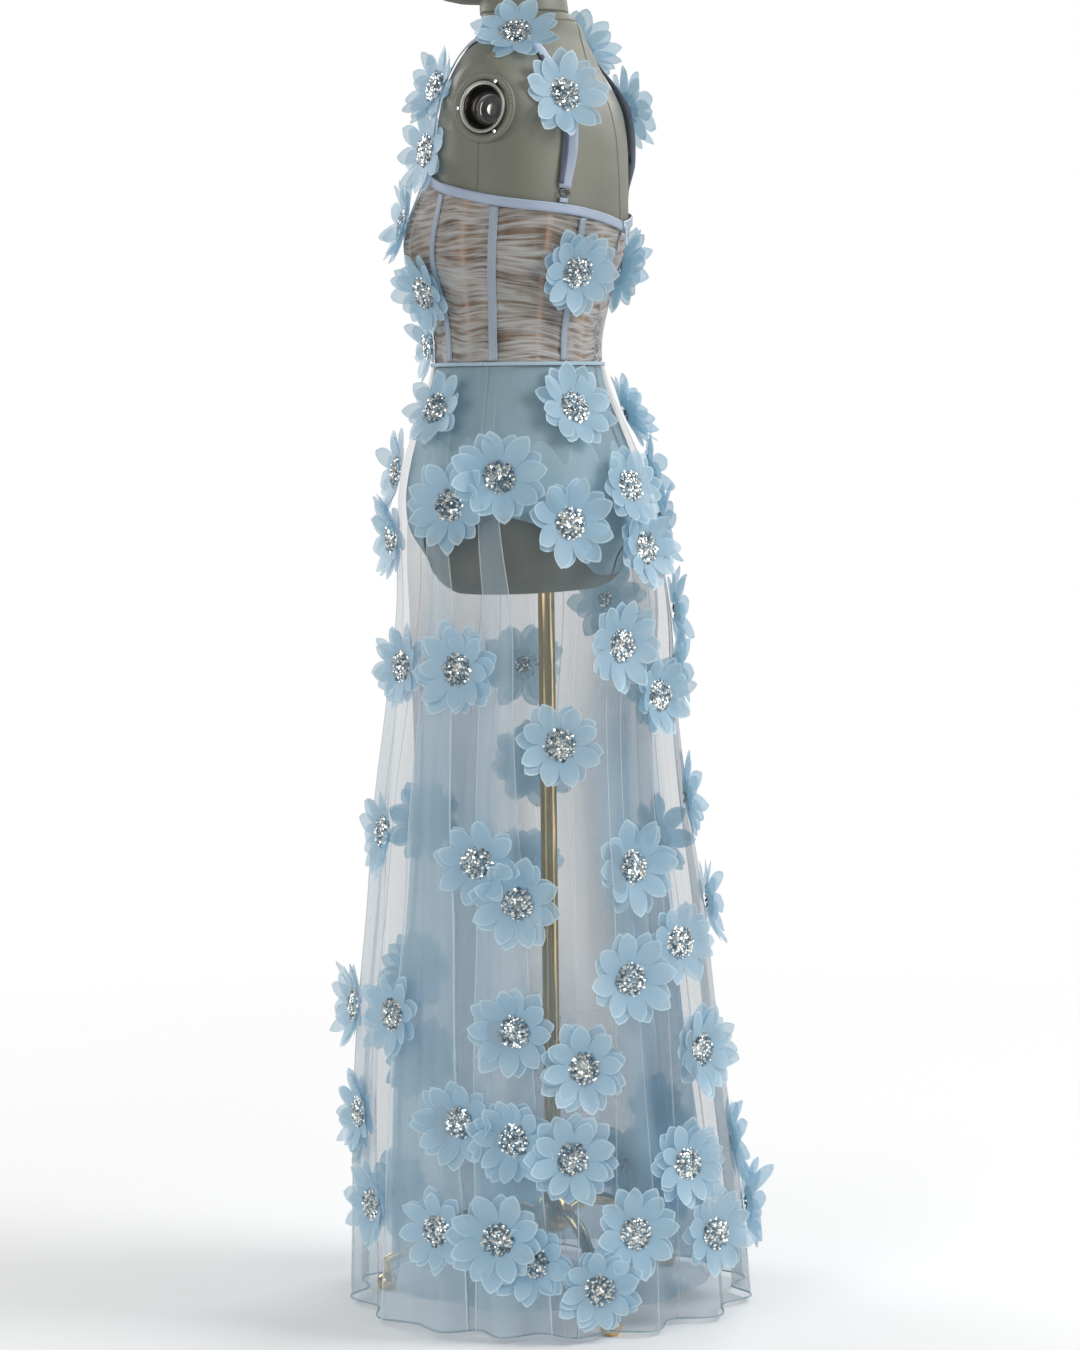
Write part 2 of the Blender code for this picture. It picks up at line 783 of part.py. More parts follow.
def ring(name, centre, half_w, half_h, thick, normal, mat, into):
    """A closed oval wire ring that lies against the form."""
    right = Vector((0, 0, 1)).cross(normal).normalized()
    up = normal.cross(right)
    rings = []
    for k in range(16):
        a = 2 * math.pi * k / 16
        way = right * math.cos(a) * half_w + up * math.sin(a) * half_h
        middle = centre + way
        out = (right * math.cos(a) / half_w + up * math.sin(a) / half_h).normalized()
        rings.append([middle + out * thick * math.cos(b) + normal * thick * math.sin(b) for b in (0.0, math.pi / 2, math.pi, 3 * math.pi / 2)])
    points = [p for row in rings for p in row]
    faces = []
    for r in range(16):
        for i in range(4):
            j = (i + 1) % 4
            up_row = (r + 1) % 16
            faces.append((r * 4 + i, r * 4 + j, up_row * 4 + j, up_row * 4 + i))
    return solid(name, points, faces, mat, into)


def band_plate(name, x, z, half_w, half_h, near, thick, mat, into):
    """A small plate lying along the back of the form, near metres out from it."""
    corners = []
    for dz in (-half_h, half_h):
        for dx in (-half_w, half_w):
            hit, away = pressed(x + dx, z + dz, None, True)
            corners.append(hit)
    normal = (corners[1] - corners[0]).cross(corners[2] - corners[0]).normalized()
    if normal.y < 0:
        normal = -normal
    grid = [[corners[0], corners[1]], [corners[2], corners[3]]]
    outer = [[p + normal * (near + thick) for p in row] for row in grid]
    inner = [[p + normal * near for p in row] for row in grid]
    return slab(name, outer, inner, mat, into)


for side_name, side in SIDES:
    panels[f"strap_front_{side_name}"] = strap(f"strap_front_{side_name}", STRAP_FRONT, side, False, satin, gown)
    panels[f"strap_back_{side_name}"] = strap(f"strap_back_{side_name}", STRAP_BACK, side, True, satin, gown)
    at_ring, _ = pressed(side * 0.106, RING_Z, None, True)
    facing = Vector((side * 0.45, 0.89, 0.0)).normalized()
    ring(f"strap_ring_{side_name}", at_ring + facing * 0.0026, 0.0072, 0.0036, 0.0009, facing, dark_metal, gown)
    band_plate(f"strap_tab_{side_name}", side * 0.106, 1.1688, 0.0058, 0.0023, 0.0018, 0.0012, satin, gown)
    band_plate(
        f"strap_slider_{side_name}", side * 0.104, SLIDER_Z[side_name], 0.0085, 0.0042, SLIDER_OUT[side_name], 0.0012, dark_metal, gown
    )


# Flowers: light cupped applique shapes, each joined to the wall that it is sewn on
PETALS = 8
VALLEY = 0.56
TIP_TURN = 14.0
BEAD_R = 0.0165
FOOT_SIDES = 3


def tree_of(objects):
    """One search tree over the faces of several mesh objects."""
    points = []
    faces = []
    for obj in objects:
        base = len(points)
        points.extend(v.co.copy() for v in obj.data.vertices)
        faces.extend(tuple(base + i for i in p.vertices) for p in obj.data.polygons)
    return BVHTree.FromPolygons(points, faces)


def height_over(tree, centre, normal, at):
    """How far the surface under a place stands above the flower's foot."""
    hit, _, _, _ = tree.ray_cast(centre + at + normal * 0.06, -normal, 0.10)
    return (hit - centre).dot(normal) if hit else -0.01


def flower(name, centre, normal, diameter, spin, trees, foot_r=0.0060):
    """A flower over the surfaces in trees, with its foot just inside the wall at centre."""
    radius = diameter / 2
    right = Vector((0, 0, 1)).cross(normal)
    if right.length < 0.3:
        right = Vector((1, 0, 0))
    right = (right - normal * right.dot(normal)).normalized()
    up = normal.cross(right)
    rim = []
    for k in range(PETALS):
        middle = k * 360 / PETALS + spin
        half = 180 / PETALS
        rim += [(middle - half, VALLEY, 0.0055), (middle - TIP_TURN, 0.97, 0.0085), (middle + TIP_TURN, 0.97, 0.0085)]
    ways = []
    needs = []
    for turn, reach, least in rim:
        way = right * math.cos(math.radians(turn)) + up * math.sin(math.radians(turn))
        lift = least
        for aside in (-8, 0, 8):
            beside = math.radians(turn + aside)
            line = (right * math.cos(beside) + up * math.sin(beside)) * radius * reach
            for share in (0.32, 0.45, 0.6, 0.75, 0.9, 1.04):
                high = max(height_over(tree, centre, normal, line * share) for tree in trees)
                lift = max(lift, 0.0015 + (high + 0.0010) / share)
        ways.append((way, radius * reach))
        needs.append(min(lift, 0.028))
    count = len(ways)
    apart = [[min(abs(i - j), count - abs(i - j)) for j in range(count)] for i in range(count)]
    lifts = [max(needs[j] - 0.0022 * apart[i][j] for j in range(count)) for i in range(count)]
    outline = [(way, reach, lift) for (way, reach), lift in zip(ways, lifts)]
    points = [centre + way * reach + normal * lift for way, reach, lift in outline]
    for k in range(PETALS):
        way = outline[3 * k][0]
        near = [outline[(3 * k + d) % count] for d in (-4, -2, -1, 0, 1, 2, 4)]
        slope = max(lift / reach for _, reach, lift in near)
        points.append(centre + way * BEAD_R + normal * (slope * BEAD_R + 0.0042))
    top = sum((p.dot(normal) for p in points[count:]), 0.0) / PETALS - centre.dot(normal)
    points.append(centre + normal * (top + 0.0045))
    apex = count + PETALS
    first = len(points)
    corners = []
    for k in range(FOOT_SIDES):
        a = math.radians(360 / FOOT_SIDES * k + spin - 22.5)
        at = right * foot_r * math.cos(a) + up * foot_r * math.sin(a)
        local = height_over(trees[0], centre, normal, at)
        corners.append((centre + at, local if abs(local) < 0.004 else 0.0))
    for level in (0.0013, -0.0008):
        points += [corner + normal * (local + level) for corner, local in corners]
    faces = []
    for k in range(PETALS):
        a = 3 * k
        b = (3 * k + 3) % count
        ring = count + k
        following = count + (k + 1) % PETALS
        faces += [(a, a + 1, ring), (a + 1, a + 2, ring), (ring, a + 2, following), (a + 2, b, following)]
        faces.append((ring, following, apex))
    per = count // FOOT_SIDES
    for k in range(FOOT_SIDES):
        foot = first + k
        following = first + (k + 1) % FOOT_SIDES
        half = per * k + per // 2
        faces += [(i + 1, foot, i) for i in range(per * k, half)]
        faces.append((foot, half, following))
        faces += [((i + 1) % count, following, i) for i in range(half, per * (k + 1))]
        faces.append((foot, following, following + FOOT_SIDES, foot + FOOT_SIDES))
    faces.append(tuple(first + FOOT_SIDES + k for k in range(FOOT_SIDES)))
    return solid(name, points, faces, organza, helpers)


def wall_place(wall, where, angle, height):
    """The outer point and normal of a wall on the line that leads in to this angle and height."""
    start = where(angle, height, 0.15)
    way = where(angle, height, 0.0) - start
    hit, normal, _, _ = wall.ray_cast(start, way.normalized(), 0.20)
    return hit, normal, start


def soft_normal(tree, hit, normal):
    """The mean facing of the wall round a place, so that a flower lies over small facets."""
    total = normal.copy()
    right = Vector((0, 0, 1)).cross(normal).normalized()
    up = normal.cross(right)
    for k in range(8):
        a = math.pi * k / 4
        at = hit + (right * math.cos(a) + up * math.sin(a)) * 0.025 + normal * 0.03
        _, found, _, _ = tree.ray_cast(at, -normal, 0.08)
        if found and found.dot(normal) > 0:
            total += found
    return total.normalized()


sewn = {}
placed = []
skirt_names = ["skirt_front_left", "skirt_back_left", "skirt_back_right", "skirt_front_right"]
skirt_trees = {name: tree_of([panels[name]]) for name in skirt_names}
bodice_names = [name for name in panels if name.startswith(("bodice", "bone"))]
bodice_trees = {name: tree_of([panels[name]]) for name in bodice_names}
body_parts = [o for o in gown.objects if o.type == "MESH" and not o.name.startswith(("skirt", "stand"))]
body_tree = tree_of(body_parts)
skirt_tree = tree_of([panels[name] for name in skirt_names])


def sew(rows, trees, under, where):
    """Places a flower for each row on the wall that its line meets first."""
    for height, angle, diameter, spin in rows:
        found = []
        for name, tree in trees.items():
            hit, normal, start = wall_place(tree, where, angle, height)
            if hit:
                found.append(((hit - start).length, name, hit, normal))
        if not found:
            continue
        _, name, hit, normal = min(found, key=lambda row: row[0])
        facing = soft_normal(under[0], hit, normal)
        seen = under + ([tree_of(placed)] if placed else [])
        foot_r = 0.0030 if name.startswith("bone") else 0.0060
        made = flower(f"flower_{len(placed) + 1}", hit, facing, diameter, spin, seen, foot_r)
        placed.append(made)
        sewn.setdefault(name, []).append(made)


sew(SKIRT_FLOWERS, skirt_trees, [skirt_tree, body_tree], skirt_point)
sew(BODICE_FLOWERS, bodice_trees, [body_tree, skirt_tree], body_point)


def strap_place(band, share):
    """A point on a strap's outer face part of the way along it, and the way that the face looks."""
    half = len(band.data.vertices) // 2
    rows = half // 2
    at = share * (rows - 1)
    i = min(int(at), rows - 2)
    t = at - i
    v = [band.data.vertices[2 * i + k].co for k in range(4)]
    middle = ((v[0] + v[1]) * (1 - t) + (v[2] + v[3]) * t) / 2
    normal = (v[1] - v[0]).cross(v[2] - v[0]).normalized()
    inside = band.data.vertices[half + 2 * i].co
    if normal.dot(v[0] - inside) < 0:
        normal = -normal
    return middle, normal


for side_name, side in SIDES:
    for part_name, rows in (("front", STRAP_FRONT_FLOWERS), ("back", STRAP_BACK_FLOWERS)):
        name = f"strap_{part_name}_{side_name}"
        for share, diameter, spin in rows:
            hit, normal = strap_place(panels[name], share)
            seen = [body_tree, tree_of(placed)]
            made = flower(f"flower_{len(placed) + 1}", hit, normal, diameter, spin, seen)
            placed.append(made)
            sewn.setdefault(name, []).append(made)

for name, flowers in sewn.items():
    joined = bpy.data.collections.new(f"flowers_of_{name}")
    helpers.children.link(joined)
    for made in flowers:
        helpers.objects.unlink(made)
        joined.objects.link(made)
        made.display_type = "WIRE"
        made.hide_render = True
    union = panels[name].modifiers.new("flowers", "BOOLEAN")
    union.operation = "UNION"
    union.operand_type = "COLLECTION"
    union.collection = joined
    union.solver = "EXACT"
    union.use_self = True
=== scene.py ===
"""The looks of a sleeveless tulle gown with organza flowers, worn by a limbless dress form on a brass stand.

Metres, +Z up. The front faces -Y and the form's left side is +X. Angles round the body start at +X and turn
towards +Y, so 90 is centre back and -90 is centre front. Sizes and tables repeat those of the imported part.
"""

import json
import math
import random

import bmesh
import bpy
import numpy as np
from mathutils import Matrix, Vector, noise
from mathutils.bvhtree import BVHTree

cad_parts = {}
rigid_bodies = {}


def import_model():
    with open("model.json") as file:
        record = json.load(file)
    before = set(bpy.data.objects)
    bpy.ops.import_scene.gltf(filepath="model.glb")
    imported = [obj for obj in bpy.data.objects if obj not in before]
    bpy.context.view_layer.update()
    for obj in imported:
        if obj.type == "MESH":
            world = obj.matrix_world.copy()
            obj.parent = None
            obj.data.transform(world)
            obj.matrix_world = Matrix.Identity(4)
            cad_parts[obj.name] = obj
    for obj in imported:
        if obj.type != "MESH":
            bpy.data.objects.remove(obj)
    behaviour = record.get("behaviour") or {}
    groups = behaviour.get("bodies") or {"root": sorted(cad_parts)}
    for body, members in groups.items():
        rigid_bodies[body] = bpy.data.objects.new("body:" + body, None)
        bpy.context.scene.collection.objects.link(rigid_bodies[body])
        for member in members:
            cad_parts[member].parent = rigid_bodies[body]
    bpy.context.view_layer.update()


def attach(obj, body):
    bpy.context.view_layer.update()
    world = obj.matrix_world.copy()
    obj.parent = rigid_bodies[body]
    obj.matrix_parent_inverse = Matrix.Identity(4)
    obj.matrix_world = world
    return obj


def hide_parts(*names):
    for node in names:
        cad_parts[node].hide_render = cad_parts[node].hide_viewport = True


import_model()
GOWN = "gown_on_form"
PULL = "zip_pull"

# Camera and light
# The picture is taken from the form's left, a little behind its side and level with its hips.
# Four large soft lamps stand round it. A pale sky fills the shadows, and metals mirror two bright strips.
CAMERA_TURN = 18.0
CAMERA_HEIGHT = 0.97264
CAMERA_DISTANCE = 4.05007
CAMERA_ASIDE = -0.00755
CAMERA_PITCH = 4.2488
CAMERA_ROLL = -0.68487
CAMERA_LENS = 101.489
SKY_LIGHT = 0.38
MIRRORED_SKY = 0.30
STRIP_LIGHT = 1.7
# The strips that metals mirror: the way to each, and the cosines where it begins and is full
STRIP_LIGHTS = [((-0.10, 0.995, 0.0), 0.84, 0.97), ((0.90, -0.43, 0.0), 0.95, 0.992)]
LAMPS = {
    "key_lamp": ((-0.4, 2.7, 2.6), 1.6, 73.0),
    "fill_lamp": ((3.5, -1.1, 1.7), 2.2, 44.0),
    "back_lamp": ((-2.8, 0.6, 2.6), 1.8, 34.0),
    "front_lamp": ((-1.2, -3.2, 2.2), 1.8, 46.0),
}

UPWARDS = Vector((0, 0, 1))

scene = bpy.context.scene
scene.view_settings.view_transform = "Standard"
turn = math.radians(CAMERA_TURN)
pitch = math.radians(CAMERA_PITCH)
roll = math.radians(CAMERA_ROLL)
toward = Vector((math.cos(turn), math.sin(turn), 0))
aside = Vector((-math.sin(turn), math.cos(turn), 0))
looks = -toward * math.cos(pitch) - Vector((0, 0, math.sin(pitch)))
upright = Vector((0, 0, math.cos(pitch))) - toward * math.sin(pitch)
right = aside * math.cos(roll) + upright * math.sin(roll)
top = upright * math.cos(roll) - aside * math.sin(roll)
lens = bpy.data.cameras.new("camera")
lens.lens = CAMERA_LENS
lens.sensor_width = 36.0
lens.clip_start = 0.05
camera = bpy.data.objects.new("camera", lens)
place = toward * CAMERA_DISTANCE + aside * CAMERA_ASIDE + Vector((0, 0, CAMERA_HEIGHT))
camera.matrix_world = Matrix((right, top, -looks)).transposed().to_4x4()
camera.matrix_world.translation = place
scene.collection.objects.link(camera)
scene.camera = camera

for lamp_name, (stands, side, power) in LAMPS.items():
    light = bpy.data.lights.new(lamp_name, "AREA")
    light.size = side
    light.energy = power
    lamp = bpy.data.objects.new(lamp_name, light)
    lamp.location = stands
    lamp.rotation_euler = (Vector((0, 0, 0.8)) - Vector(stands)).to_track_quat("-Z", "Y").to_euler()
    scene.collection.objects.link(lamp)


def node(tree, kind, inputs=None, **settings):
    """A node with its settings, and its inputs linked from other nodes' outputs or filled with values."""
    made = tree.nodes.new(kind)
    for name, value in settings.items():
        setattr(made, name, value)
    for name, value in (inputs or {}).items():
        if isinstance(value, bpy.types.NodeSocket):
            tree.links.new(value, made.inputs[name])
        else:
            made.inputs[name].default_value = value
    return made


def reckoned(tree, operation, *values, clamp=False):
    """The result of a sum on values or on other nodes' outputs."""
    return node(
        tree, "ShaderNodeMath", dict(enumerate(values)), operation=operation, use_clamp=clamp
    ).outputs[0]


def grey(value):
    """A grey colour with this brightness."""
    return (value, value, value, 1.0)


sky = bpy.data.worlds.new("pale_sky")
scene.world = sky
sky.use_nodes = True
sky_tree = sky.node_tree
seen = sky_tree.nodes["Background"]
seen.inputs["Color"].default_value = grey(1.0)
rays = node(sky_tree, "ShaderNodeLightPath")
way = node(sky_tree, "ShaderNodeTexCoord").outputs["Generated"]
strips = []
for aim, near, full in STRIP_LIGHTS:
    facing = node(
        sky_tree, "ShaderNodeVectorMath", {0: way, 1: aim}, operation="DOT_PRODUCT"
    ).outputs["Value"]
    span = {"Value": facing, "From Min": near, "From Max": full, "To Max": STRIP_LIGHT}
    strips.append(node(sky_tree, "ShaderNodeMapRange", span).outputs["Result"])
strip = reckoned(sky_tree, "ADD", strips[0], strips[1])
mirrored = reckoned(sky_tree, "ADD", strip, MIRRORED_SKY)
matt = reckoned(sky_tree, "SUBTRACT", 1.0, rays.outputs["Is Glossy Ray"])
glossy = reckoned(sky_tree, "MULTIPLY", mirrored, rays.outputs["Is Glossy Ray"])
level = reckoned(sky_tree, "MULTIPLY_ADD", matt, SKY_LIGHT, glossy)
shed = node(sky_tree, "ShaderNodeBackground", {"Color": grey(1.0), "Strength": level})
skies = {0: rays.outputs["Is Camera Ray"], 1: shed.outputs[0], 2: seen.outputs[0]}
both = node(sky_tree, "ShaderNodeMixShader", skies)
sky_tree.links.new(both.outputs[0], sky_tree.nodes["World Output"].inputs["Surface"])


# Floor
# A pale studio floor that the stand and the hem rest on. It thins out to nothing away from the object.
FLOOR_R = 2.6
FLOOR_CLEAR = 0.7
FLOOR_TONE = 0.90


def place_on(tree):
    """The place on a piece, in metres."""
    return node(tree, "ShaderNodeTexCoord").outputs["Object"]


def finish_of(name, colour=None, **values):
    """A material's name, tree and Principled shader, with values set on the shader's own sockets."""
    made = bpy.data.materials.new(name)
    made.use_nodes = True
    shader = made.node_tree.nodes["Principled BSDF"]
    if colour:
        shader.inputs["Base Color"].default_value = (*colour, 1.0)
    for label, value in values.items():
        shader.inputs[label.replace("_", " ").title().replace("Ior", "IOR")].default_value = value
    return made, made.node_tree, shader


floor_finish, tree, shader = finish_of("studio_floor", (FLOOR_TONE,) * 3, roughness=0.9)
far = node(tree, "ShaderNodeVectorMath", {0: place_on(tree)}, operation="LENGTH")
fade = {
    "Value": far.outputs["Value"],
    "From Min": FLOOR_CLEAR,
    "From Max": FLOOR_R * 0.96,
    "To Min": 1.0,
    "To Max": 0.0,
}
thin = node(tree, "ShaderNodeMapRange", fade, interpolation_type="SMOOTHSTEP")
tree.links.new(thin.outputs["Result"], shader.inputs["Alpha"])
floor_mesh = bpy.data.meshes.new("floor")
rim = [(FLOOR_R * math.cos(k * math.pi / 32), FLOOR_R * math.sin(k * math.pi / 32), 0.0) for k in range(64)]
floor_mesh.from_pydata(rim, [], [tuple(range(64))])
floor_mesh.materials.append(floor_finish)
floor = bpy.data.objects.new("floor", floor_mesh)
scene.collection.objects.link(floor)


# Dress form cover
# A hard hollow body under a tight grey-green cover of grained leathercloth, sewn with narrow felled seams.
# Its arms are cut off flat and its lower edge is turned under.
COVER_COLOUR = (0.195, 0.199, 0.158)
COVER_SHADE = (0.158, 0.162, 0.130)
BODY = np.array(
    [
        (0.7650, 0.142, 0.070, 0.070, -0.0170), (0.7710, 0.152, 0.080, 0.080, -0.0174),
        (0.8000, 0.162, 0.095, 0.098, -0.0200), (0.8320, 0.169, 0.113, 0.118, -0.0225),
        (0.8600, 0.170, 0.116, 0.119, -0.0230), (0.9000, 0.160, 0.110, 0.110, -0.0240),
        (0.9400, 0.142, 0.098, 0.097, -0.0260), (0.9700, 0.124, 0.089, 0.088, -0.0275),
        (1.0000, 0.113, 0.083, 0.083, -0.0280), (1.0300, 0.113, 0.083, 0.083, -0.0280),
        (1.0600, 0.120, 0.086, 0.087, -0.0260), (1.0900, 0.130, 0.088, 0.0925, -0.0240),
        (1.1200, 0.139, 0.089, 0.100, -0.0210), (1.1500, 0.146, 0.092, 0.103, -0.0170),
        (1.1800, 0.151, 0.095, 0.098, -0.0120), (1.2100, 0.157, 0.095, 0.094, -0.0090),
        (1.2500, 0.165, 0.091, 0.088, -0.0070), (1.2800, 0.166, 0.084, 0.078, -0.0060),
        (1.3000, 0.160, 0.074, 0.067, -0.0070), (1.3150, 0.147, 0.064, 0.062, -0.0090),
        (1.3300, 0.120, 0.056, 0.060, -0.0110), (1.3450, 0.085, 0.050, 0.058, -0.0130),
        (1.3550, 0.064, 0.046, 0.057, -0.0140), (1.3695, 0.050, 0.0455, 0.048, -0.0160),
    ]
)
BUST_X = 0.082
BUST_Z = 1.125
BUST_OUT = 0.030
ARM_TURN = -12.0
ARM_FLAT = 0.158
ARM_Y = -0.008
ARM_Z = 1.262
ARM_SOFT = 0.0012
POCKET = [(-0.0172, 0.0270), (0.0100, 0.0270)]
SIDES = [("left", 1), ("right", -1)]


def smooth_rows(table, at):
    """A table's columns after the first, on smooth curves, at places along its first column."""
    known = table[:, 0]
    at = np.clip(at, known[0], known[-1])
    low = np.clip(np.searchsorted(known, at, side="right") - 1, 0, len(known) - 2)
    slopes = np.gradient(table[:, 1:], known, axis=0)
    span = (known[low + 1] - known[low])[..., None]
    t = ((at - known[low])[..., None]) / span
    start = table[low, 1:]
    end = table[low + 1, 1:]
    rise = end - start
    curved = t * (1 - t) * ((1 - t) * (slopes[low] * span - rise) - t * (slopes[low + 1] * span - rise))
    return np.moveaxis(start + rise * t + curved, -1, 0)


def oval_point(angle, z, half_w, half_d, centre, out):
    """Points on an oval at angles and heights, moved outwards by out."""
    c = np.cos(np.radians(angle))
    s = np.sin(np.radians(angle))
    nx = c / half_w
    ny = s / half_d
    length = np.hypot(nx, ny)
    x = half_w * c + out * nx / length
    y = centre + half_d * s + out * ny / length
    return np.stack(np.broadcast_arrays(x, y, z), axis=-1)


def body_at(angle, z, out=0.0):
    """Points over the form's skin at angles and heights, moved outwards by out."""
    angle, z, out = np.broadcast_arrays(*np.atleast_1d(angle, z, out))
    half_w, front, behind, centre = smooth_rows(BODY, z)
    s = np.sin(np.radians(angle))
    x = half_w * np.cos(np.radians(angle))
    below = np.where(z < BUST_Z, 0.046, 0.060)
    swell = np.exp(-(((np.abs(x) - BUST_X) / 0.052) ** 2)) * np.exp(-(((z - BUST_Z) / below) ** 2))
    forward = BUST_OUT * swell * np.clip(-s * 1.6, 0, 1)
    points = oval_point(angle, z, half_w, np.where(s > 0, behind, front), centre, out)
    points[..., 1] -= forward
    return points


def arm_facing(side):
    """The way that the flat arm cut of one side looks."""
    angle = math.radians(ARM_TURN)
    return Vector((side * math.cos(angle), math.sin(angle), 0.06)).normalized()


def arm_seat(side):
    """The middle of the flat arm cut of one side."""
    return Vector((side * ARM_FLAT, ARM_Y, ARM_Z))


def press_arms(points):
    """Presses the shoulders softly onto the flat arm cuts."""
    for _, side in SIDES:
        over = (points - np.array(arm_seat(side))) @ np.array(arm_facing(side))
        near = np.clip((points[..., 2] - 1.17) / 0.02, 0, 1) * (points[..., 0] * side > 0)
        push = near * (over + np.sqrt(over**2 + ARM_SOFT**2)) / 2
        points = points - push[..., None] * np.array(arm_facing(side))
    return points


def grid_mesh(name, points, finish, marks=None, around=False, ends=False):
    """A smooth mesh through a grid of points, with a UV map in metres and float marks on its points."""
    points = np.asarray(points, float)
    rows, cols = points.shape[:2]
    index = np.arange(rows * cols).reshape(rows, cols)
    wide = np.concatenate([index, index[:, :1]], axis=1) if around else index
    corners = np.stack([wide[:-1, :-1], wide[:-1, 1:], wide[1:, 1:], wide[1:, :-1]], axis=-1)
    faces = corners.reshape(-1, 4).tolist()
    if ends:
        faces += [index[0, ::-1].tolist(), index[-1].tolist()]
    mesh = bpy.data.meshes.new(name)
    mesh.from_pydata(points.reshape(-1, 3).tolist(), [], faces)
    flat = np.take(points.reshape(-1, 3), wide, axis=0)
    across = np.linalg.norm(np.diff(flat, axis=1), axis=2).mean(axis=0)
    up = np.linalg.norm(np.diff(flat, axis=0), axis=2).mean(axis=1)
    across = np.concatenate([[0], np.cumsum(across)])
    up = np.concatenate([[0], np.cumsum(up)])
    r, c = np.meshgrid(np.arange(rows - 1), np.arange(wide.shape[1] - 1), indexing="ij")
    u = np.stack([across[c], across[c + 1], across[c + 1], across[c]], axis=-1)
    v = np.stack([up[r], up[r], up[r + 1], up[r + 1]], axis=-1)
    spread = np.zeros((len(mesh.loops), 2))
    spread[: u.size] = np.stack([u, v], axis=-1).reshape(-1, 2)
    mesh.uv_layers.new(name="cut").data.foreach_set("uv", spread.ravel())
    for label, values in (marks or {}).items():
        mark = mesh.attributes.new(label, "FLOAT", "POINT")
        mark.data.foreach_set("value", np.broadcast_to(values, (rows, cols)).ravel().astype(np.float32))
    mesh.polygons.foreach_set("use_smooth", [True] * len(mesh.polygons))
    mesh.materials.append(finish)
    made = bpy.data.objects.new(name, mesh)
    scene.collection.objects.link(made)
    return made


def settle(obj, slot, *nodes, body=GOWN):
    """Hangs a piece on its body and hides the CAD nodes that it stands for. The slot is not used."""
    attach(obj, body)
    if nodes:
        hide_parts(*nodes)
    return obj


def shader_group(name, inputs, outputs):
    """An empty node group with named sockets, and its start and end nodes."""
    made = bpy.data.node_groups.new(name, "ShaderNodeTree")
    for label, (kind, value) in inputs.items():
        socket = made.interface.new_socket(name=label, in_out="INPUT", socket_type=kind)
        if value is not None:
            socket.default_value = value
    for label, kind in outputs.items():
        made.interface.new_socket(name=label, in_out="OUTPUT", socket_type=kind)
    return made, node(made, "NodeGroupInput"), node(made, "NodeGroupOutput")


# Uneven dye, dust and handling, which every finish here shows a little of
patches, start, end = shader_group(
    "uneven_patches",
    {
        "Vector": ("NodeSocketVector", None),
        "Scale": ("NodeSocketFloat", 8.0),
        "Detail": ("NodeSocketFloat", 3.0),
    },
    {"Patches": "NodeSocketFloat"},
)
spread_noise = node(
    patches,
    "ShaderNodeTexNoise",
    {"Vector": start.outputs["Vector"], "Scale": start.outputs["Scale"], "Detail": start.outputs["Detail"]},
)
even = {"Value": spread_noise.outputs[0], "From Min": 0.34, "From Max": 0.66}
evened = node(patches, "ShaderNodeMapRange", even)
patches.links.new(evened.outputs["Result"], end.inputs["Patches"])


def mark_on(tree, name):
    """The float mark of this name on the surface."""
    return node(tree, "ShaderNodeAttribute", attribute_name=name).outputs["Fac"]


def placed_group(tree, group, **inputs):
    """A node group placed in a material with its own values."""
    made = node(tree, "ShaderNodeGroup", node_tree=group)
    for label, value in inputs.items():
        socket = made.inputs[label]
        if isinstance(value, bpy.types.NodeSocket):
            tree.links.new(value, socket)
        else:
            socket.default_value = value
    return made


def dyed(tree, shader, share, first, second):
    """Gives a shader a colour between two colours."""
    tree.links.new(mixed(tree, share, first, second), shader.inputs["Base Color"])


def mixed(tree, share, first, second):
    """A colour between two colours, or a value between two values, by a share."""
    kind = "RGBA" if isinstance(first, tuple) or getattr(first, "type", "") == "RGBA" else "FLOAT"
    made = node(tree, "ShaderNodeMix", data_type=kind)
    sockets = [s for s in made.inputs if s.enabled]
    for socket, value in zip(sockets, (share, first, second)):
        if isinstance(value, bpy.types.NodeSocket):
            tree.links.new(value, socket)
        else:
            socket.default_value = (*value, 1.0)[:4] if isinstance(value, tuple) else value
    return next(s for s in made.outputs if s.enabled)


def bumped(tree, shader, height, distance, strength=1.0):
    """A bump of this height on a shader's normal."""
    bump = node(tree, "ShaderNodeBump", {"Height": height, "Distance": distance, "Strength": strength})
    tree.links.new(bump.outputs["Normal"], shader.inputs["Normal"])


cover_finish, tree, shader = finish_of("form_cover", roughness=0.5, sheen_weight=0.05, sheen_roughness=0.5)
where = place_on(tree)
worn = placed_group(tree, patches, Vector=where, Scale=9.0, Detail=4.0).outputs["Patches"]
dyed(tree, shader, worn, COVER_SHADE, COVER_COLOUR)
tree.links.new(mixed(tree, worn, 0.58, 0.44), shader.inputs["Roughness"])
grain = node(tree, "ShaderNodeTexVoronoi", {"Vector": where, "Scale": 700.0}, feature="F1")
bumped(tree, shader, grain.outputs["Distance"], 0.0002, 0.5)

torso_angles = np.arange(0, 360, 3.0)
turned_under = [0.7650, 0.7656, 0.7670, 0.7690]
torso_heights = [turned_under, np.arange(0.7710, 1.17, 0.006), np.arange(1.17, 1.3695, 0.003), [1.3695]]
torso_heights = np.concatenate(torso_heights)
torso_points = press_arms(body_at(torso_angles[None, :], torso_heights[:, None]))
torso = grid_mesh("form_body", torso_points, cover_finish, around=True, ends=True)


def closed_up(obj, merge=0.0, facing=False):
    """Merges the doubled points of a closed mesh and turns its faces outwards."""
    shape = bmesh.new()
    shape.from_mesh(obj.data)
    if merge:
        bmesh.ops.remove_doubles(shape, verts=shape.verts, dist=merge)
    if facing:
        bmesh.ops.recalc_face_normals(shape, faces=shape.faces)
    shape.to_mesh(obj.data)
    shape.free()
    return obj


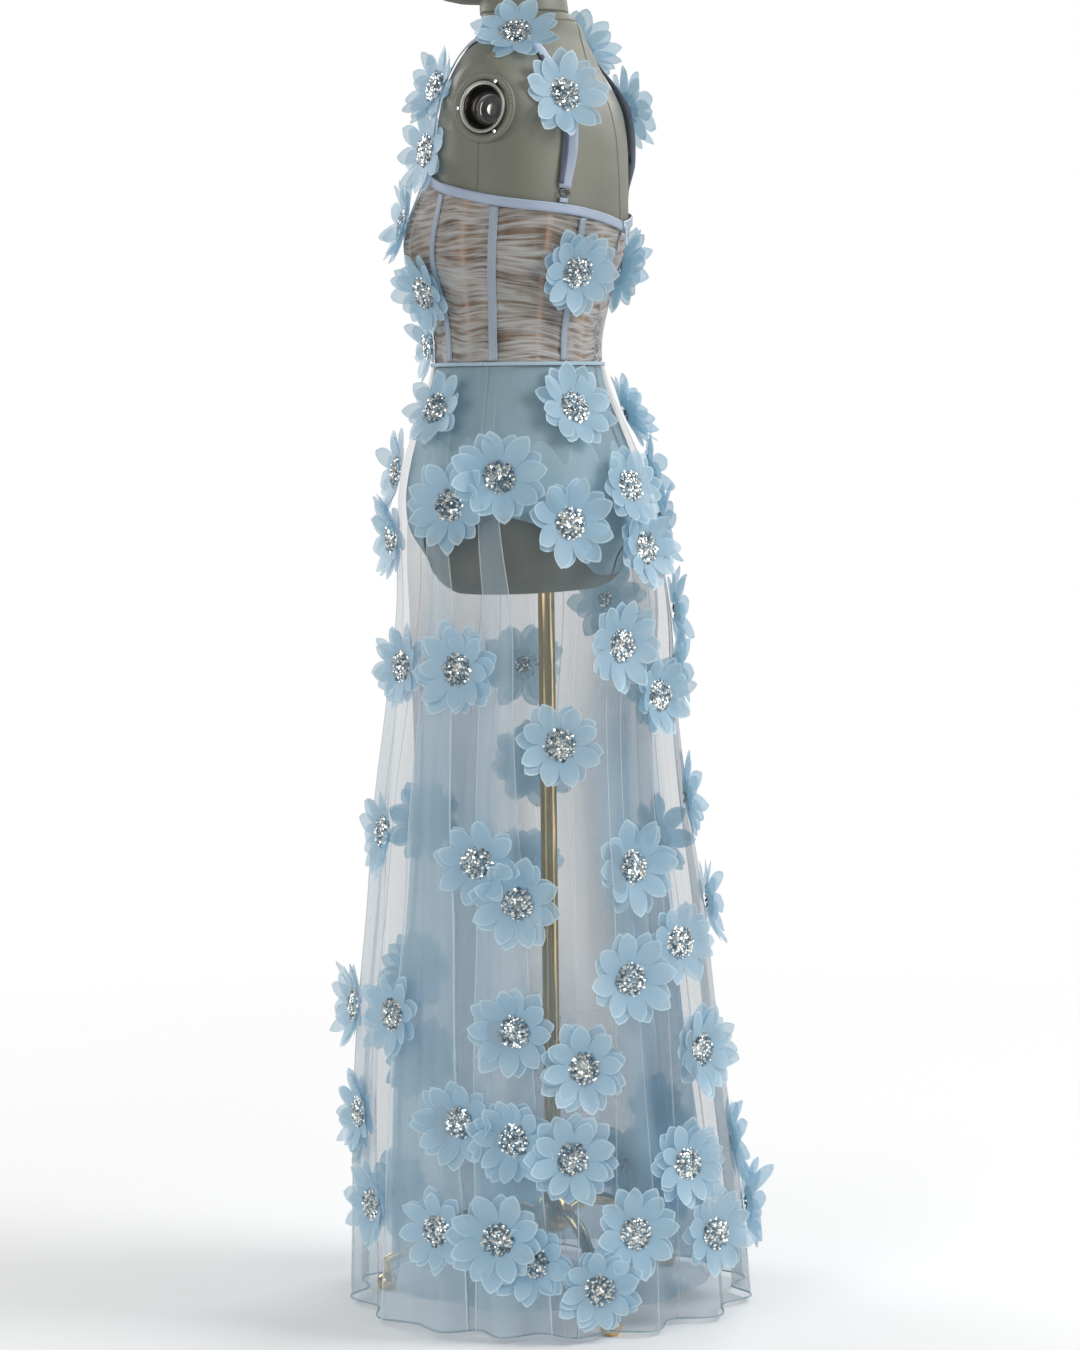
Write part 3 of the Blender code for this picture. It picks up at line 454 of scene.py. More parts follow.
def lathe(name, centre, axis, profile, finish, sides=64, loop=False):
    """A turned shape round an axis: its profile rows are distance along the axis and radius."""
    turned = UPWARDS.rotation_difference(axis).to_matrix()
    rows = [*profile, profile[0]] if loop else profile
    angles = np.radians(np.arange(sides) * 360 / sides)
    rings = np.array([[(r * math.cos(a), r * math.sin(a), along) for a in angles] for along, r in rows])
    points = rings @ np.array(turned.transposed()) + np.array(centre)
    made = closed_up(grid_mesh(name, points, finish, around=True, ends=not loop), 1e-6, True)
    made.data.set_sharp_from_angle(angle=math.radians(42))
    return made


def apply_modifiers(obj):
    """Turns a piece's evaluated shape into its plain mesh."""
    depsgraph = bpy.context.evaluated_depsgraph_get()
    shape = bpy.data.meshes.new_from_object(obj.evaluated_get(depsgraph))
    obj.modifiers.clear()
    obj.data = shape


def union_of(name, objects):
    """Joins several pieces' meshes into one object."""
    with bpy.context.temp_override(active_object=objects[0], selected_editable_objects=objects):
        bpy.ops.object.join()
    objects[0].name = name
    objects[0].data.name = name
    return objects[0]


for side_name, side in SIDES:
    pocket = lathe("pocket", arm_seat(side), arm_facing(side), POCKET, cover_finish)
    cut = torso.modifiers.new("pocket", "BOOLEAN")
    cut.operation = "DIFFERENCE"
    cut.solver = "EXACT"
    cut.object = pocket
    apply_modifiers(torso)
    bpy.data.objects.remove(pocket, do_unlink=True)
torso.data.set_sharp_from_angle(angle=math.radians(50))
settle(torso, "form_cover", "form_torso")


# Felled seams of the cover
# Each seam is a narrow ridge of doubled cover, from the armhole down the side, round the neck's foot,
# over the shoulder and down the centre back.
SEAM_R = 0.0006
SEAM_SIDE_ANGLE = -5.0
SEAM_NECK_Z = 1.3585


def tube(name, path, radius, finish, sides=10, closed=False):
    """A round cord along a path of points, closed at its ends or into a ring."""
    path = np.asarray(path, float)
    ahead = np.roll(path, -1, axis=0) - np.roll(path, 1, axis=0)
    if not closed:
        ahead[0] = path[1] - path[0]
        ahead[-1] = path[-1] - path[-2]
    ahead /= np.linalg.norm(ahead, axis=1)[:, None]
    radius = np.broadcast_to(radius, len(path))
    aside = Vector((0.31, 0.22, 0.92)).cross(Vector(ahead[0])).normalized()
    rings = []
    for point, way, r in zip(path, ahead, radius):
        way = Vector(way)
        aside = (aside - way * aside.dot(way)).normalized()
        other = way.cross(aside)
        ring = []
        for k in range(sides):
            a = 2 * math.pi * k / sides
            ring.append(Vector(point) + (aside * math.cos(a) + other * math.sin(a)) * r)
        rings.append(ring)
    if closed:
        rings.append(rings[0])
    made = grid_mesh(name, rings, finish, around=True, ends=not closed)
    return closed_up(made, 1e-5) if closed else made


seam_z = np.linspace(1.10, 1.226, 40)
seam_lines = [
    body_at(SEAM_SIDE_ANGLE, seam_z, 0.0001),
    body_at(180 - SEAM_SIDE_ANGLE, seam_z, 0.0001),
    body_at(90, np.linspace(1.12, SEAM_NECK_Z, 60), 0.0001),
    body_at(np.full(30, 0.0), np.linspace(1.303, SEAM_NECK_Z, 30), 0.0001),
    body_at(np.full(30, 180.0), np.linspace(1.303, SEAM_NECK_Z, 30), 0.0001),
]
seams = [tube("seam", press_arms(line), SEAM_R, cover_finish, 8) for line in seam_lines]
neck_turn = np.arange(0, 360, 4.0)
neck_drop = 0.006 * np.cos(np.radians(neck_turn + 90))
neck_line = body_at(neck_turn, SEAM_NECK_Z - neck_drop * 0.5, 0.0002)
seams.append(tube("seam", neck_line, 0.0008, cover_finish, 8, True))
settle(union_of("cover_seams", seams), "form_cover")


# Neck and head
# The form's neck ends in a plain egg-shaped head without features, under the same cover.
NECK = np.array(
    [
        (1.3700, 0.0495, 0.0465, -0.0165),
        (1.3800, 0.0484, 0.0462, -0.0172),
        (1.3900, 0.0470, 0.0455, -0.0180),
    ]
)
HEAD = np.array(
    [
        (1.3840, 0.0300, 0.0480, -0.0400), (1.3880, 0.0440, 0.0640, -0.0410),
        (1.4000, 0.0520, 0.0750, -0.0440), (1.4300, 0.0600, 0.0840, -0.0450),
        (1.4700, 0.0700, 0.0920, -0.0400), (1.5200, 0.0740, 0.0960, -0.0350),
        (1.5600, 0.0680, 0.0880, -0.0330), (1.5850, 0.0480, 0.0620, -0.0330),
        (1.5950, 0.0280, 0.0360, -0.0330), (1.5980, 0.0060, 0.0080, -0.0330),
    ]
)


def oval_loft(name, table, heights, narrow, finish):
    """A smooth closed shape through oval sections, narrowed towards its front."""
    angles = np.arange(0, 360, 5.0)[None, :]
    z = np.asarray(heights)[:, None]
    half_w, half_d, centre = smooth_rows(table, z)
    pinch = 1 - narrow * np.clip(-np.sin(np.radians(angles)), 0, 1) * np.clip((1.50 - z) / 0.05, 0, 1)
    points = oval_point(angles, z, half_w, half_d, centre, 0.0)
    points[..., 0] *= pinch
    return grid_mesh(name, points, finish, around=True, ends=True)


head_heights = np.concatenate([np.linspace(1.3840, 1.5850, 60), 1.598 - 0.012 * np.linspace(1, 0, 16) ** 2])
neck = oval_loft("neck", NECK, np.linspace(1.3700, 1.3900, 8), 0.0, cover_finish)
head = oval_loft("head", HEAD, head_heights, 0.22, cover_finish)
settle(union_of("form_neck_and_head", [neck, head]), "form_cover", "form_head")


# Arm plates and magnetic sockets
# A padded ring of cover is stitched round each arm cut. A polished steel cup sits in it, held by three small
# lugs with screws.
PLATE = [
    (0.0004, 0.0358),
    (0.0022, 0.0360),
    (0.0034, 0.0354),
    (0.0041, 0.0340),
    (0.0043, 0.0318),
    (0.0040, 0.0296),
    (0.0030, 0.0284),
    (0.0004, 0.0282),
]
CUP = [
    (-0.0165, 0.0150), (-0.0150, 0.0220), (-0.0060, 0.0260), (0.0040, 0.0268), (0.0060, 0.0270),
    (0.0072, 0.0264), (0.0076, 0.0252), (0.0072, 0.0238), (0.0060, 0.0226), (0.0020, 0.0216),
    (-0.0040, 0.0206), (-0.0085, 0.0190), (-0.0120, 0.0168), (-0.0142, 0.0138),
]
# The floor of the bore, painted near black as the shade of the deep hole
CUP_DARK = [(-0.0160, 0.0136), (-0.0148, 0.0136), (-0.0144, 0.0100), (-0.0150, 0.0040)]
CUP_LIP = (0.0224, 0.0243)
LUG_R = 0.0292
LUG_TURNS = (60.0, 180.0, 300.0)
STITCH_R = 0.0330
STITCHES = 48

# Fine scratches and uneven polish of bare metal
polish, start, end = shader_group(
    "uneven_polish",
    {
        "Vector": ("NodeSocketVector", None),
        "Smooth": ("NodeSocketFloat", 0.1),
        "Rough": ("NodeSocketFloat", 0.3),
    },
    {"Roughness": "NodeSocketFloat", "Height": "NodeSocketFloat"},
)
smear = node(
    polish, "ShaderNodeTexNoise", {"Vector": start.outputs["Vector"], "Scale": 26.0, "Detail": 6.0}
)
hair = node(
    polish, "ShaderNodeTexNoise", {"Vector": start.outputs["Vector"], "Scale": 420.0, "Detail": 2.0}
)
level = node(
    polish,
    "ShaderNodeMapRange",
    {"Value": smear.outputs[0], "To Min": start.outputs["Smooth"], "To Max": start.outputs["Rough"]},
)
polish.links.new(level.outputs["Result"], end.inputs["Roughness"])
polish.links.new(hair.outputs[0], end.inputs["Height"])


def metal(name, colour, shade, smooth, rough):
    """A metal with uneven polish and two tones of its colour."""
    made, tree, shader = finish_of(name, metallic=1.0)
    where = place_on(tree)
    worn = placed_group(tree, polish, Vector=where, Smooth=smooth, Rough=rough)
    tone = placed_group(tree, patches, Vector=where, Scale=14.0, Detail=4.0)
    dyed(tree, shader, tone.outputs["Patches"], shade, colour)
    tree.links.new(worn.outputs["Roughness"], shader.inputs["Roughness"])
    bumped(tree, shader, worn.outputs["Height"], 0.00003, 0.3)
    return made


chrome_finish = metal("polished_steel", (0.80, 0.80, 0.81), (0.66, 0.67, 0.69), 0.06, 0.22)
dark_steel_finish = metal("dark_steel", (0.16, 0.17, 0.21), (0.07, 0.075, 0.10), 0.22, 0.40)
# The bowl is the cup's own polished steel painted darker, as painted shade in its hollow; the bore below is
# painted near black as painted shade
bowl_shade_finish = metal("bowl_painted_shade", (0.36, 0.35, 0.34), (0.22, 0.21, 0.20), 0.05, 0.16)
flange_finish = metal("dull_flange", (0.36, 0.35, 0.31), (0.26, 0.25, 0.22), 0.35, 0.55)
bore_shade_finish, tree, shader = finish_of("socket_bore_painted_shade", roughness=0.35, metallic=0.6)
where = place_on(tree)
bore = placed_group(tree, patches, Vector=where, Scale=60.0, Detail=2.0).outputs["Patches"]
dyed(tree, shader, bore, (0.012, 0.012, 0.012), (0.05, 0.05, 0.05))


def scatter_tree():
    """A node tree that stands one shape on every point, turned by its facing, spin and size marks."""
    made = bpy.data.node_groups.new("set_on_points", "GeometryNodeTree")
    ports = {}
    for label, kind in (
        ("Geometry", "NodeSocketGeometry"),
        ("Shape", "NodeSocketObject"),
        ("Size", "NodeSocketFloat"),
        ("Finish", "NodeSocketMaterial"),
    ):
        ports[label] = made.interface.new_socket(name=label, in_out="INPUT", socket_type=kind)
    made.interface.new_socket(name="Geometry", in_out="OUTPUT", socket_type="NodeSocketGeometry")
    given = node(made, "NodeGroupInput").outputs

    def mark(label, kind):
        named = node(made, "GeometryNodeInputNamedAttribute", {"Name": label}, data_type=kind)
        return next(s for s in named.outputs if s.enabled)

    shape = node(made, "GeometryNodeObjectInfo", {"Object": given["Shape"]})
    aim = {"Vector": mark("facing", "FLOAT_VECTOR")}
    faced = node(made, "FunctionNodeAlignRotationToVector", aim, axis="Z")
    spun = node(
        made, "FunctionNodeAxisAngleToRotation", {"Axis": (0, 0, 1), "Angle": mark("spin", "FLOAT")}
    )
    both = node(
        made,
        "FunctionNodeRotateRotation",
        {"Rotation": faced.outputs[0], "Rotate By": spun.outputs[0]},
        rotation_space="LOCAL",
    )
    sized = node(made, "ShaderNodeMath", {0: mark("size", "FLOAT"), 1: given["Size"]}, operation="MULTIPLY")
    stood = node(
        made,
        "GeometryNodeInstanceOnPoints",
        {
            "Points": given["Geometry"],
            "Instance": shape.outputs["Geometry"],
            "Rotation": both.outputs[0],
            "Scale": sized.outputs[0],
        },
    )
    real = node(made, "GeometryNodeRealizeInstances", {"Geometry": stood.outputs[0]})
    clad = node(made, "GeometryNodeSetMaterial", {"Geometry": real.outputs[0], "Material": given["Finish"]})
    node(made, "NodeGroupOutput", {0: clad.outputs[0]})
    return made, {label: socket.identifier for label, socket in ports.items()}


SCATTER, SCATTER_PORTS = scatter_tree()


def scatter(name, spots, shape, size, finish):
    """One mesh of a shape repeated on spots: each is a place, a facing, a spin, a size and a tone."""
    mesh = bpy.data.meshes.new(name)
    mesh.from_pydata([tuple(s[0]) for s in spots], [], [])
    facings = [v for s in spots for v in s[1]]
    mesh.attributes.new("facing", "FLOAT_VECTOR", "POINT").data.foreach_set("vector", facings)
    for k, label in enumerate(("spin", "size", "tone"), 2):
        mesh.attributes.new(label, "FLOAT", "POINT").data.foreach_set("value", [float(s[k]) for s in spots])
    made = bpy.data.objects.new(name, mesh)
    scene.collection.objects.link(made)
    spread = made.modifiers.new("set_on_points", "NODES")
    spread.node_group = SCATTER
    spread[SCATTER_PORTS["Shape"]] = shape
    spread[SCATTER_PORTS["Size"]] = size
    spread[SCATTER_PORTS["Finish"]] = finish
    apply_modifiers(made)
    made.data.name = name
    return made


def hidden(obj):
    """Keeps a shape that is only repeated elsewhere out of the picture."""
    scene.collection.objects.unlink(obj)
    return obj


def along_spin(facing, along):
    """The spin that turns a scattered shape's length along a line."""
    start = UPWARDS.rotation_difference(facing).to_matrix() @ Vector((1, 0, 0))
    return math.atan2(start.cross(along).dot(facing), start.dot(along))


# A domed screw head and one stitch of thread, to scale by their half width
SCREW = [(-0.4, 1.0), (0.2, 1.0), (0.55, 0.8), (0.62, 0.3)]
STITCH_LINE = [(-1.0, 0, -0.1), (-0.7, 0, 0.22), (0, 0, 0.3), (0.7, 0, 0.22), (1.0, 0, -0.1)]
STITCH_THICK = [0.16, 0.24, 0.26, 0.24, 0.16]
screw_head = hidden(lathe("screw_head", (0, 0, 0), UPWARDS, SCREW, chrome_finish, 16))
stitch = hidden(tube("stitch", STITCH_LINE, STITCH_THICK, chrome_finish, 6))

thread_finish, tree, shader = finish_of("sewing_thread", roughness=0.6, sheen_weight=0.3)
where = place_on(tree)
twist = placed_group(tree, patches, Vector=where, Scale=900.0, Detail=1.0).outputs["Patches"]
dyed(tree, shader, twist, (0.26, 0.27, 0.23), (0.40, 0.41, 0.36))
bumped(tree, shader, twist, 0.0001, 0.5)

for side_name, side in SIDES:
    seat = arm_seat(side)
    facing = arm_facing(side)
    plate = lathe(f"arm_ring_{side_name}", seat, facing, PLATE, cover_finish, 72, loop=True)
    settle(plate, "form_cover", f"arm_plate_{side_name}")
    cup = lathe(f"cup_{side_name}", seat, facing, CUP, chrome_finish, 72)
    bore_rows = [(a + 0.0006, r) for a, r in CUP_DARK]
    dark = lathe(f"bore_{side_name}", seat, facing, bore_rows, bore_shade_finish, 48)
    cup.data.materials.append(flange_finish)
    cup.data.materials.append(bowl_shade_finish)
    for face in cup.data.polygons:
        from_seat = face.center - seat
        along = from_seat.dot(facing)
        reach = (from_seat - facing * along).length
        face.material_index = 1 if reach > CUP_LIP[1] else 2 if reach < CUP_LIP[0] else 0
    settle(union_of(f"steel_cup_{side_name}", [cup, dark]), "chrome", f"arm_socket_{side_name}")
    back = UPWARDS.cross(facing).normalized() * (1 if side > 0 else -1)
    over = UPWARDS - facing * facing.z
    lugs = []
    stitches = []
    for k in range(STITCHES):
        a = 2 * math.pi * k / STITCHES
        spot = seat + (back * math.cos(a) + over * math.sin(a)) * STITCH_R + facing * 0.0042
        along = back * -math.sin(a) + over * math.cos(a)
        stitches.append((spot, facing, along_spin(facing, along), 1.0, 0.5))
    for lug_turn in LUG_TURNS:
        a = math.radians(lug_turn)
        spot = seat + (back * math.cos(a) + over * math.sin(a)) * LUG_R + facing * 0.0056
        lugs.append((spot, facing, a, 1.0, 0.5))
    screws = scatter(f"socket_screws_{side_name}", lugs, screw_head, 0.0024, chrome_finish)
    settle(screws, "chrome")
    thread = scatter(f"ring_stitches_{side_name}", stitches, stitch, 0.0015, thread_finish)
    settle(thread, "form_cover")


# Stand
# A brass-plated steel tube carries the form. It ends in a turned hub, and three bowed round legs run out of
# the hub to small turned feet.
POLE_R = 0.0088
POLE_Z = (0.1105, 0.7645)
HUB = [
    (0.0720, 0.0110),
    (0.0722, 0.0125),
    (0.0760, 0.0188),
    (0.0775, 0.0192),
    (0.1005, 0.0192),
    (0.1020, 0.0188),
    (0.1092, 0.0140),
    (0.1100, 0.0130),
]
LEG_ANGLES = (36, 156, 276)
LEG_LINE = np.array(
    [
        (0.0207, 0.0900, 0.0072),
        (0.0500, 0.0960, 0.0072),
        (0.0880, 0.0900, 0.0068),
        (0.1250, 0.0660, 0.0062),
        (0.1600, 0.0440, 0.0056),
        (0.1840, 0.0330, 0.0050),
        (0.1860, 0.0188, 0.0046),
    ]
)
FOOT_AT = 0.186
FOOT = [
    (0.0000, 0.0072), (0.0008, 0.0086), (0.0040, 0.0105), (0.0070, 0.0113), (0.0100, 0.0115),
    (0.0130, 0.0108), (0.0150, 0.0095), (0.0172, 0.0068), (0.0180, 0.0050),
]
BRASS = (0.86, 0.63, 0.34)
BRASS_SHADE = (0.70, 0.49, 0.24)

brass_finish = metal("brushed_brass", BRASS, BRASS_SHADE, 0.12, 0.20)
low, high = POLE_Z
bevel = 0.0006
pole_rows = [(low, POLE_R - bevel), (low + bevel, POLE_R), (high - bevel, POLE_R), (high, POLE_R - bevel)]
pole = lathe("brass_pole", (0, 0, 0), UPWARDS, pole_rows, brass_finish, 48)
settle(pole, "brass", "stand_pole")
hub = lathe("brass_hub", (0, 0, 0), UPWARDS, HUB, brass_finish, 64)
settle(hub, "brass", "stand_hub")
leg_steps = np.linspace(0, len(LEG_LINE) - 1, 43)
leg_table = np.column_stack([np.arange(len(LEG_LINE)), LEG_LINE])
leg_r, leg_z, leg_thick = smooth_rows(leg_table, leg_steps)
for k, angle in enumerate(LEG_ANGLES, 1):
    c = math.cos(math.radians(angle))
    s = math.sin(math.radians(angle))
    leg = tube(
        f"brass_leg_{k}", np.stack([leg_r * c, leg_r * s, leg_z], axis=1), leg_thick, brass_finish, 20
    )
    settle(leg, "brass", f"stand_leg_{k}")
    foot = lathe(f"brass_foot_{k}", (FOOT_AT * c, FOOT_AT * s, 0), UPWARDS, FOOT, brass_finish, 32)
    settle(foot, "brass", f"stand_foot_{k}")


# Brief
# The opaque lining under the tulle is a high-cut brief of fine blue jersey, sewn into the waist seam and
# split at the zip. Its leg edges are turned up and stitched.
SKIN_GAP = 0.00095
CLOTH = 0.0015
WAIST_Z = 1.000
ZIP_HALF = 1.1
ZIP_LOW = 0.885
SIDE_SEAM = 4
LEG_ANGLES_ROUND = [-90, -68, -48, -26, -5, 20, 48, 72, 90]
LEG_HEIGHTS = [0.779, 0.781, 0.806, 0.838, 0.848, 0.844, 0.818, 0.783, 0.779]
LEG_EDGE = np.column_stack([LEG_ANGLES_ROUND, LEG_HEIGHTS])
JERSEY = (0.370, 0.535, 0.615)
JERSEY_SHADE = (0.310, 0.465, 0.545)


def folded_angle(angle):
    """The same angle on the form's left half, from -90 at the front to 90 behind."""
    turned = (np.asarray(angle, float) + 90) % 360 - 90
    return np.where(turned > 90, 180 - turned, turned)


def leg_edge(angle):
    """The height of the brief's lower edge."""
    return np.maximum(smooth_rows(LEG_EDGE, folded_angle(angle))[0], 0.7785)


# Threads crossing over and under each other, from a coordinate in metres
weave, start, end = shader_group(
    "crossed_threads",
    {"Vector": ("NodeSocketVector", None), "Pitch": ("NodeSocketFloat", 0.001)},
    {"Height": "NodeSocketFloat"},
)
turns = node(weave, "ShaderNodeMath", {0: 2 * math.pi, 1: start.outputs["Pitch"]}, operation="DIVIDE")
wound = {0: start.outputs["Vector"], "Scale": turns.outputs[0]}
scaled = node(weave, "ShaderNodeVectorMath", wound, operation="SCALE")
parts = node(weave, "ShaderNodeSeparateXYZ", {0: scaled.outputs[0]})
warp = node(weave, "ShaderNodeMath", {0: parts.outputs["X"]}, operation="SINE")
weft = node(weave, "ShaderNodeMath", {0: parts.outputs["Y"]}, operation="SINE")
crossed = node(weave, "ShaderNodeMath", {0: warp.outputs[0], 1: weft.outputs[0]}, operation="MULTIPLY")
lifted = node(weave, "ShaderNodeMath", {0: crossed.outputs[0], 1: 0.5, 2: 0.5}, operation="MULTIPLY_ADD")
weave.links.new(lifted.outputs[0], end.inputs["Height"])


def cloth_finish(name, colour, shade, pitch, bump, **values):
    """A woven or knitted cloth with two tones of its colour, uneven dye and raised threads."""
    made, tree, shader = finish_of(name, **values)
    cut = node(tree, "ShaderNodeUVMap", uv_map="cut").outputs[0]
    where = place_on(tree)
    dye = placed_group(tree, patches, Vector=where, Scale=24.0, Detail=4.0).outputs["Patches"]
    threads = placed_group(tree, weave, Vector=cut, Pitch=pitch).outputs["Height"]
    tone = reckoned(tree, "MULTIPLY", dye, threads)
    tone = reckoned(tree, "MULTIPLY_ADD", tone, 0.7, 0.3, clamp=True)
    dyed(tree, shader, tone, shade, colour)
    bumped(tree, shader, threads, bump, 0.6)
    return made


def cut_of(points, around=False):
    """The flat width and length of the cloth in a grid, and its area."""
    points = np.asarray(points, float)
    if around:
        points = np.concatenate([points, points[:, :1]], axis=1)
    across = np.diff(points, axis=1)
    up = np.diff(points, axis=0)
    width = float(np.linalg.norm(across, axis=2).sum(axis=1).max())
    length = float(np.linalg.norm(up, axis=2).sum(axis=0).max())
    area = float(np.linalg.norm(np.cross(across[:-1], up[:, :-1]), axis=2).sum())
    return (width, length), min(area, width * length)


def body_grid(start, end, low, high, out, step=1.5, rise=0.004):
    """A grid over the form between two angles and two heights that follow the angle."""
    angles = np.linspace(start, end, max(3, round((end - start) / step) + 1))
    bottom = low(angles)
    above = high(angles)
    rows = max(3, round(float((above - bottom).max()) / rise) + 1)
    share = np.linspace(0, 1, rows)[:, None]
    z = bottom[None, :] * (1 - share) + above[None, :] * share
    return angles, z, body_at(angles[None, :], z, out)


def thicken(obj, thick):
    """Gives a single sheet its thickness, inwards from its outer face."""
    wall = obj.modifiers.new("thickness", "SOLIDIFY")
    wall.thickness = thick
    wall.offset = -1.0


jersey_finish = cloth_finish(
    "blue_jersey", JERSEY, JERSEY_SHADE, 0.0009, 0.0001, roughness=0.75, sheen_weight=0.25
)
waist_low = WAIST_Z - 0.0004
brief_parts = [
    ("brief_front", -180 - SIDE_SEAM, SIDE_SEAM),
    ("brief_back_left", SIDE_SEAM, 90 - ZIP_HALF),
    ("brief_back_right", 90 + ZIP_HALF, 180 - SIDE_SEAM),
]


def under_waist(angle):
    """The height of the brief's upper edge."""
    return np.full_like(angle, waist_low)


for name, first, last in brief_parts:
    gap = 0.09
    _, _, points = body_grid(first + gap, last - gap, leg_edge, under_waist, SKIN_GAP + CLOTH)
    cloth = grid_mesh(f"{name}_jersey", points, jersey_finish)
    thicken(cloth, 0.0010)
    settle(cloth, "lining", name)
    flat, area = cut_of(points)


# Ruched bodice
# Nine panels of fine flesh-coloured and blue mesh are gathered crosswise between the bone channels, over
# strips of nude tape. The gathers run from channel to channel and dip between them.
CHANNELS = (-62, -29, 7, 56)
TOP_ANGLES = [-90, -72, -58, -29, 7, 56, 90]
TOP_HEIGHTS = [1.178, 1.190, 1.203, 1.188, 1.173, 1.162, 1.150]
TOP_EDGE = np.column_stack([TOP_ANGLES, TOP_HEIGHTS])
LAYER_GAP = 0.0008
RUCHE_HIGH = 0.0017
# Colours of the ruching: painted shade in the valleys, the mesh's own warm tone, painted highlight on the
# ridges, and the nude tape
MESH_VALLEY_SHADE = (0.100, 0.074, 0.052)
MESH_WARM = (0.260, 0.180, 0.120)
MESH_RIDGE_HIGHLIGHT = (0.430, 0.428, 0.420)
NUDE_TAPE = (0.480, 0.290, 0.190)


def top_edge(angle):
    """The height of the bodice's top edge."""
    return smooth_rows(TOP_EDGE, folded_angle(angle))[0]


def waist_edge(angle):
    """The height of the waist seam."""
    return np.full_like(np.asarray(angle, float), WAIST_Z + 0.0002)


ruched_finish, tree, shader = finish_of(
    "ruched_mesh", roughness=0.62, sheen_weight=0.25, sheen_roughness=0.4
)
cut = node(tree, "ShaderNodeUVMap", uv_map="cut").outputs[0]
where = place_on(tree)
ridge = mark_on(tree, "ridge")
tape = mark_on(tree, "tape")
flow = mark_on(tree, "flow")
run = node(tree, "ShaderNodeSeparateXYZ", {0: cut}).outputs["X"]
along = node(tree, "ShaderNodeCombineXYZ", {"X": run, "Y": flow}).outputs[0]
broad = node(tree, "ShaderNodeMapping", {"Vector": along, "Scale": (9.0, 330.0, 1.0)}).outputs[0]
sharp = node(tree, "ShaderNodeMapping", {"Vector": along, "Scale": (18.0, 950.0, 1.0)}).outputs[0]
gathers = placed_group(tree, patches, Vector=broad, Scale=1.0, Detail=2.0).outputs["Patches"]
fine = placed_group(tree, patches, Vector=sharp, Scale=1.0, Detail=2.0).outputs["Patches"]
cloud = placed_group(tree, patches, Vector=where, Scale=30.0, Detail=3.0).outputs["Patches"]
threads = placed_group(tree, weave, Vector=cut, Pitch=0.0008).outputs["Height"]
# Painted light and shade of the gathers: ridges mix towards the painted highlight and valleys towards the
# painted shade, over the mesh's own tones
lit = reckoned(tree, "MULTIPLY_ADD", fine, 0.40, ridge)
lit = reckoned(tree, "MULTIPLY_ADD", gathers, 0.45, lit)
lit = reckoned(tree, "MULTIPLY_ADD", cloud, 0.25, lit)
lit = node(tree, "ShaderNodeMapRange", {"Value": lit, "From Min": 0.46, "From Max": 1.50}).outputs[0]
under = mixed(tree, cloud, MESH_VALLEY_SHADE, MESH_WARM)
under = mixed(tree, tape, under, NUDE_TAPE)
dyed(tree, shader, lit, under, MESH_RIDGE_HIGHLIGHT)
bumped(tree, shader, fine, 0.0004, 0.6)


def ruched(share, z, seed, drop):
    """How far each point of a ruched panel stands out, and the height of its gather at the panel's edge."""
    high = np.zeros(z.shape)
    flow = np.zeros(z.shape)
    for r in range(z.shape[0]):
        for c, across in enumerate(share):
            dip = 0.005 * math.sin(math.pi * across) * math.sin(seed * 2.3)
            dip += drop * across * math.exp(-(((z[r, c] - 1.085) / 0.035) ** 2))
            sway = noise.noise(Vector((across * 1.8, z[r, c] * 18, seed)))
            height = z[r, c] + dip + 0.0055 * sway
            broad = noise.noise(Vector((across * 1.1, height * 140, seed + 7.3)))
            sharp = noise.noise(Vector((across * 2.4, height * 350, seed + 3.1)))
            high[r, c] = 0.55 * (1 - abs(broad) * 2.2) + 0.45 * (1 - abs(sharp) * 2.6)
            flow[r, c] = height
    return np.clip(high, 0, 1), flow


bodice_edges = [(-118, -62, "bodice_centre_front")]
panel_ends = (*CHANNELS[1:], 90 - ZIP_HALF)
for panel, first, last in zip(("front", "side_front", "side_back", "back"), CHANNELS, panel_ends):
    bodice_edges.append((first, last, f"bodice_{panel}_left"))
    bodice_edges.append((180 - last, 180 - first, f"bodice_{panel}_right"))
for seed, (first, last, name) in enumerate(bodice_edges, 1):
    angles, z, _ = body_grid(first + 0.08, last - 0.08, waist_edge, top_edge, 0.0, 1.6, 0.0008)
    share = (angles - angles[0]) / (angles[-1] - angles[0])
    share = share if first < 90 else share[::-1]
    high, flow = ruched(share, z, seed * 1.7, 0.024 if "side_back" in name else 0.006)
    rim = np.clip((z - z[0]) / 0.004, 0, 1) * np.clip((z[-1] - z) / 0.004, 0, 1)
    points = body_at(angles[None, :], z, SKIN_GAP + 0.0004 + RUCHE_HIGH * high * rim)
    middle = (first + last) / 2 + (6 if "side_back" in name else 0) * (1 if first < 90 else -1)
    taped = np.clip(
        1.35 - np.abs(angles - middle) / 1.7, 0, 1
    )[None, :] * (0.75 if last - first > 30 else 0)
    marks = {"ridge": high, "tape": taped, "flow": flow}
    cloth = grid_mesh(f"{name}_mesh", points, ruched_finish, marks)
    settle(cloth, "ruched_mesh", name)
    flat, area = cut_of(points)


# Bone channels and top binding
# Eight satin channels hold the bones on the seams, and a folded satin binding finishes the top edge. Both are
# edge-stitched.
CHANNEL_W = 0.009
CHANNEL_OUT = SKIN_GAP + CLOTH + LAYER_GAP
BINDING_H = 0.010
SATIN = (0.390, 0.470, 0.590)
SATIN_SHADE = (0.300, 0.370, 0.490)
RIBBON = (0.540, 0.620, 0.710)
RIBBON_SHADE = (0.440, 0.520, 0.620)
THREAD = (0.46, 0.56, 0.68)
THREAD_SHADE = (0.36, 0.46, 0.58)

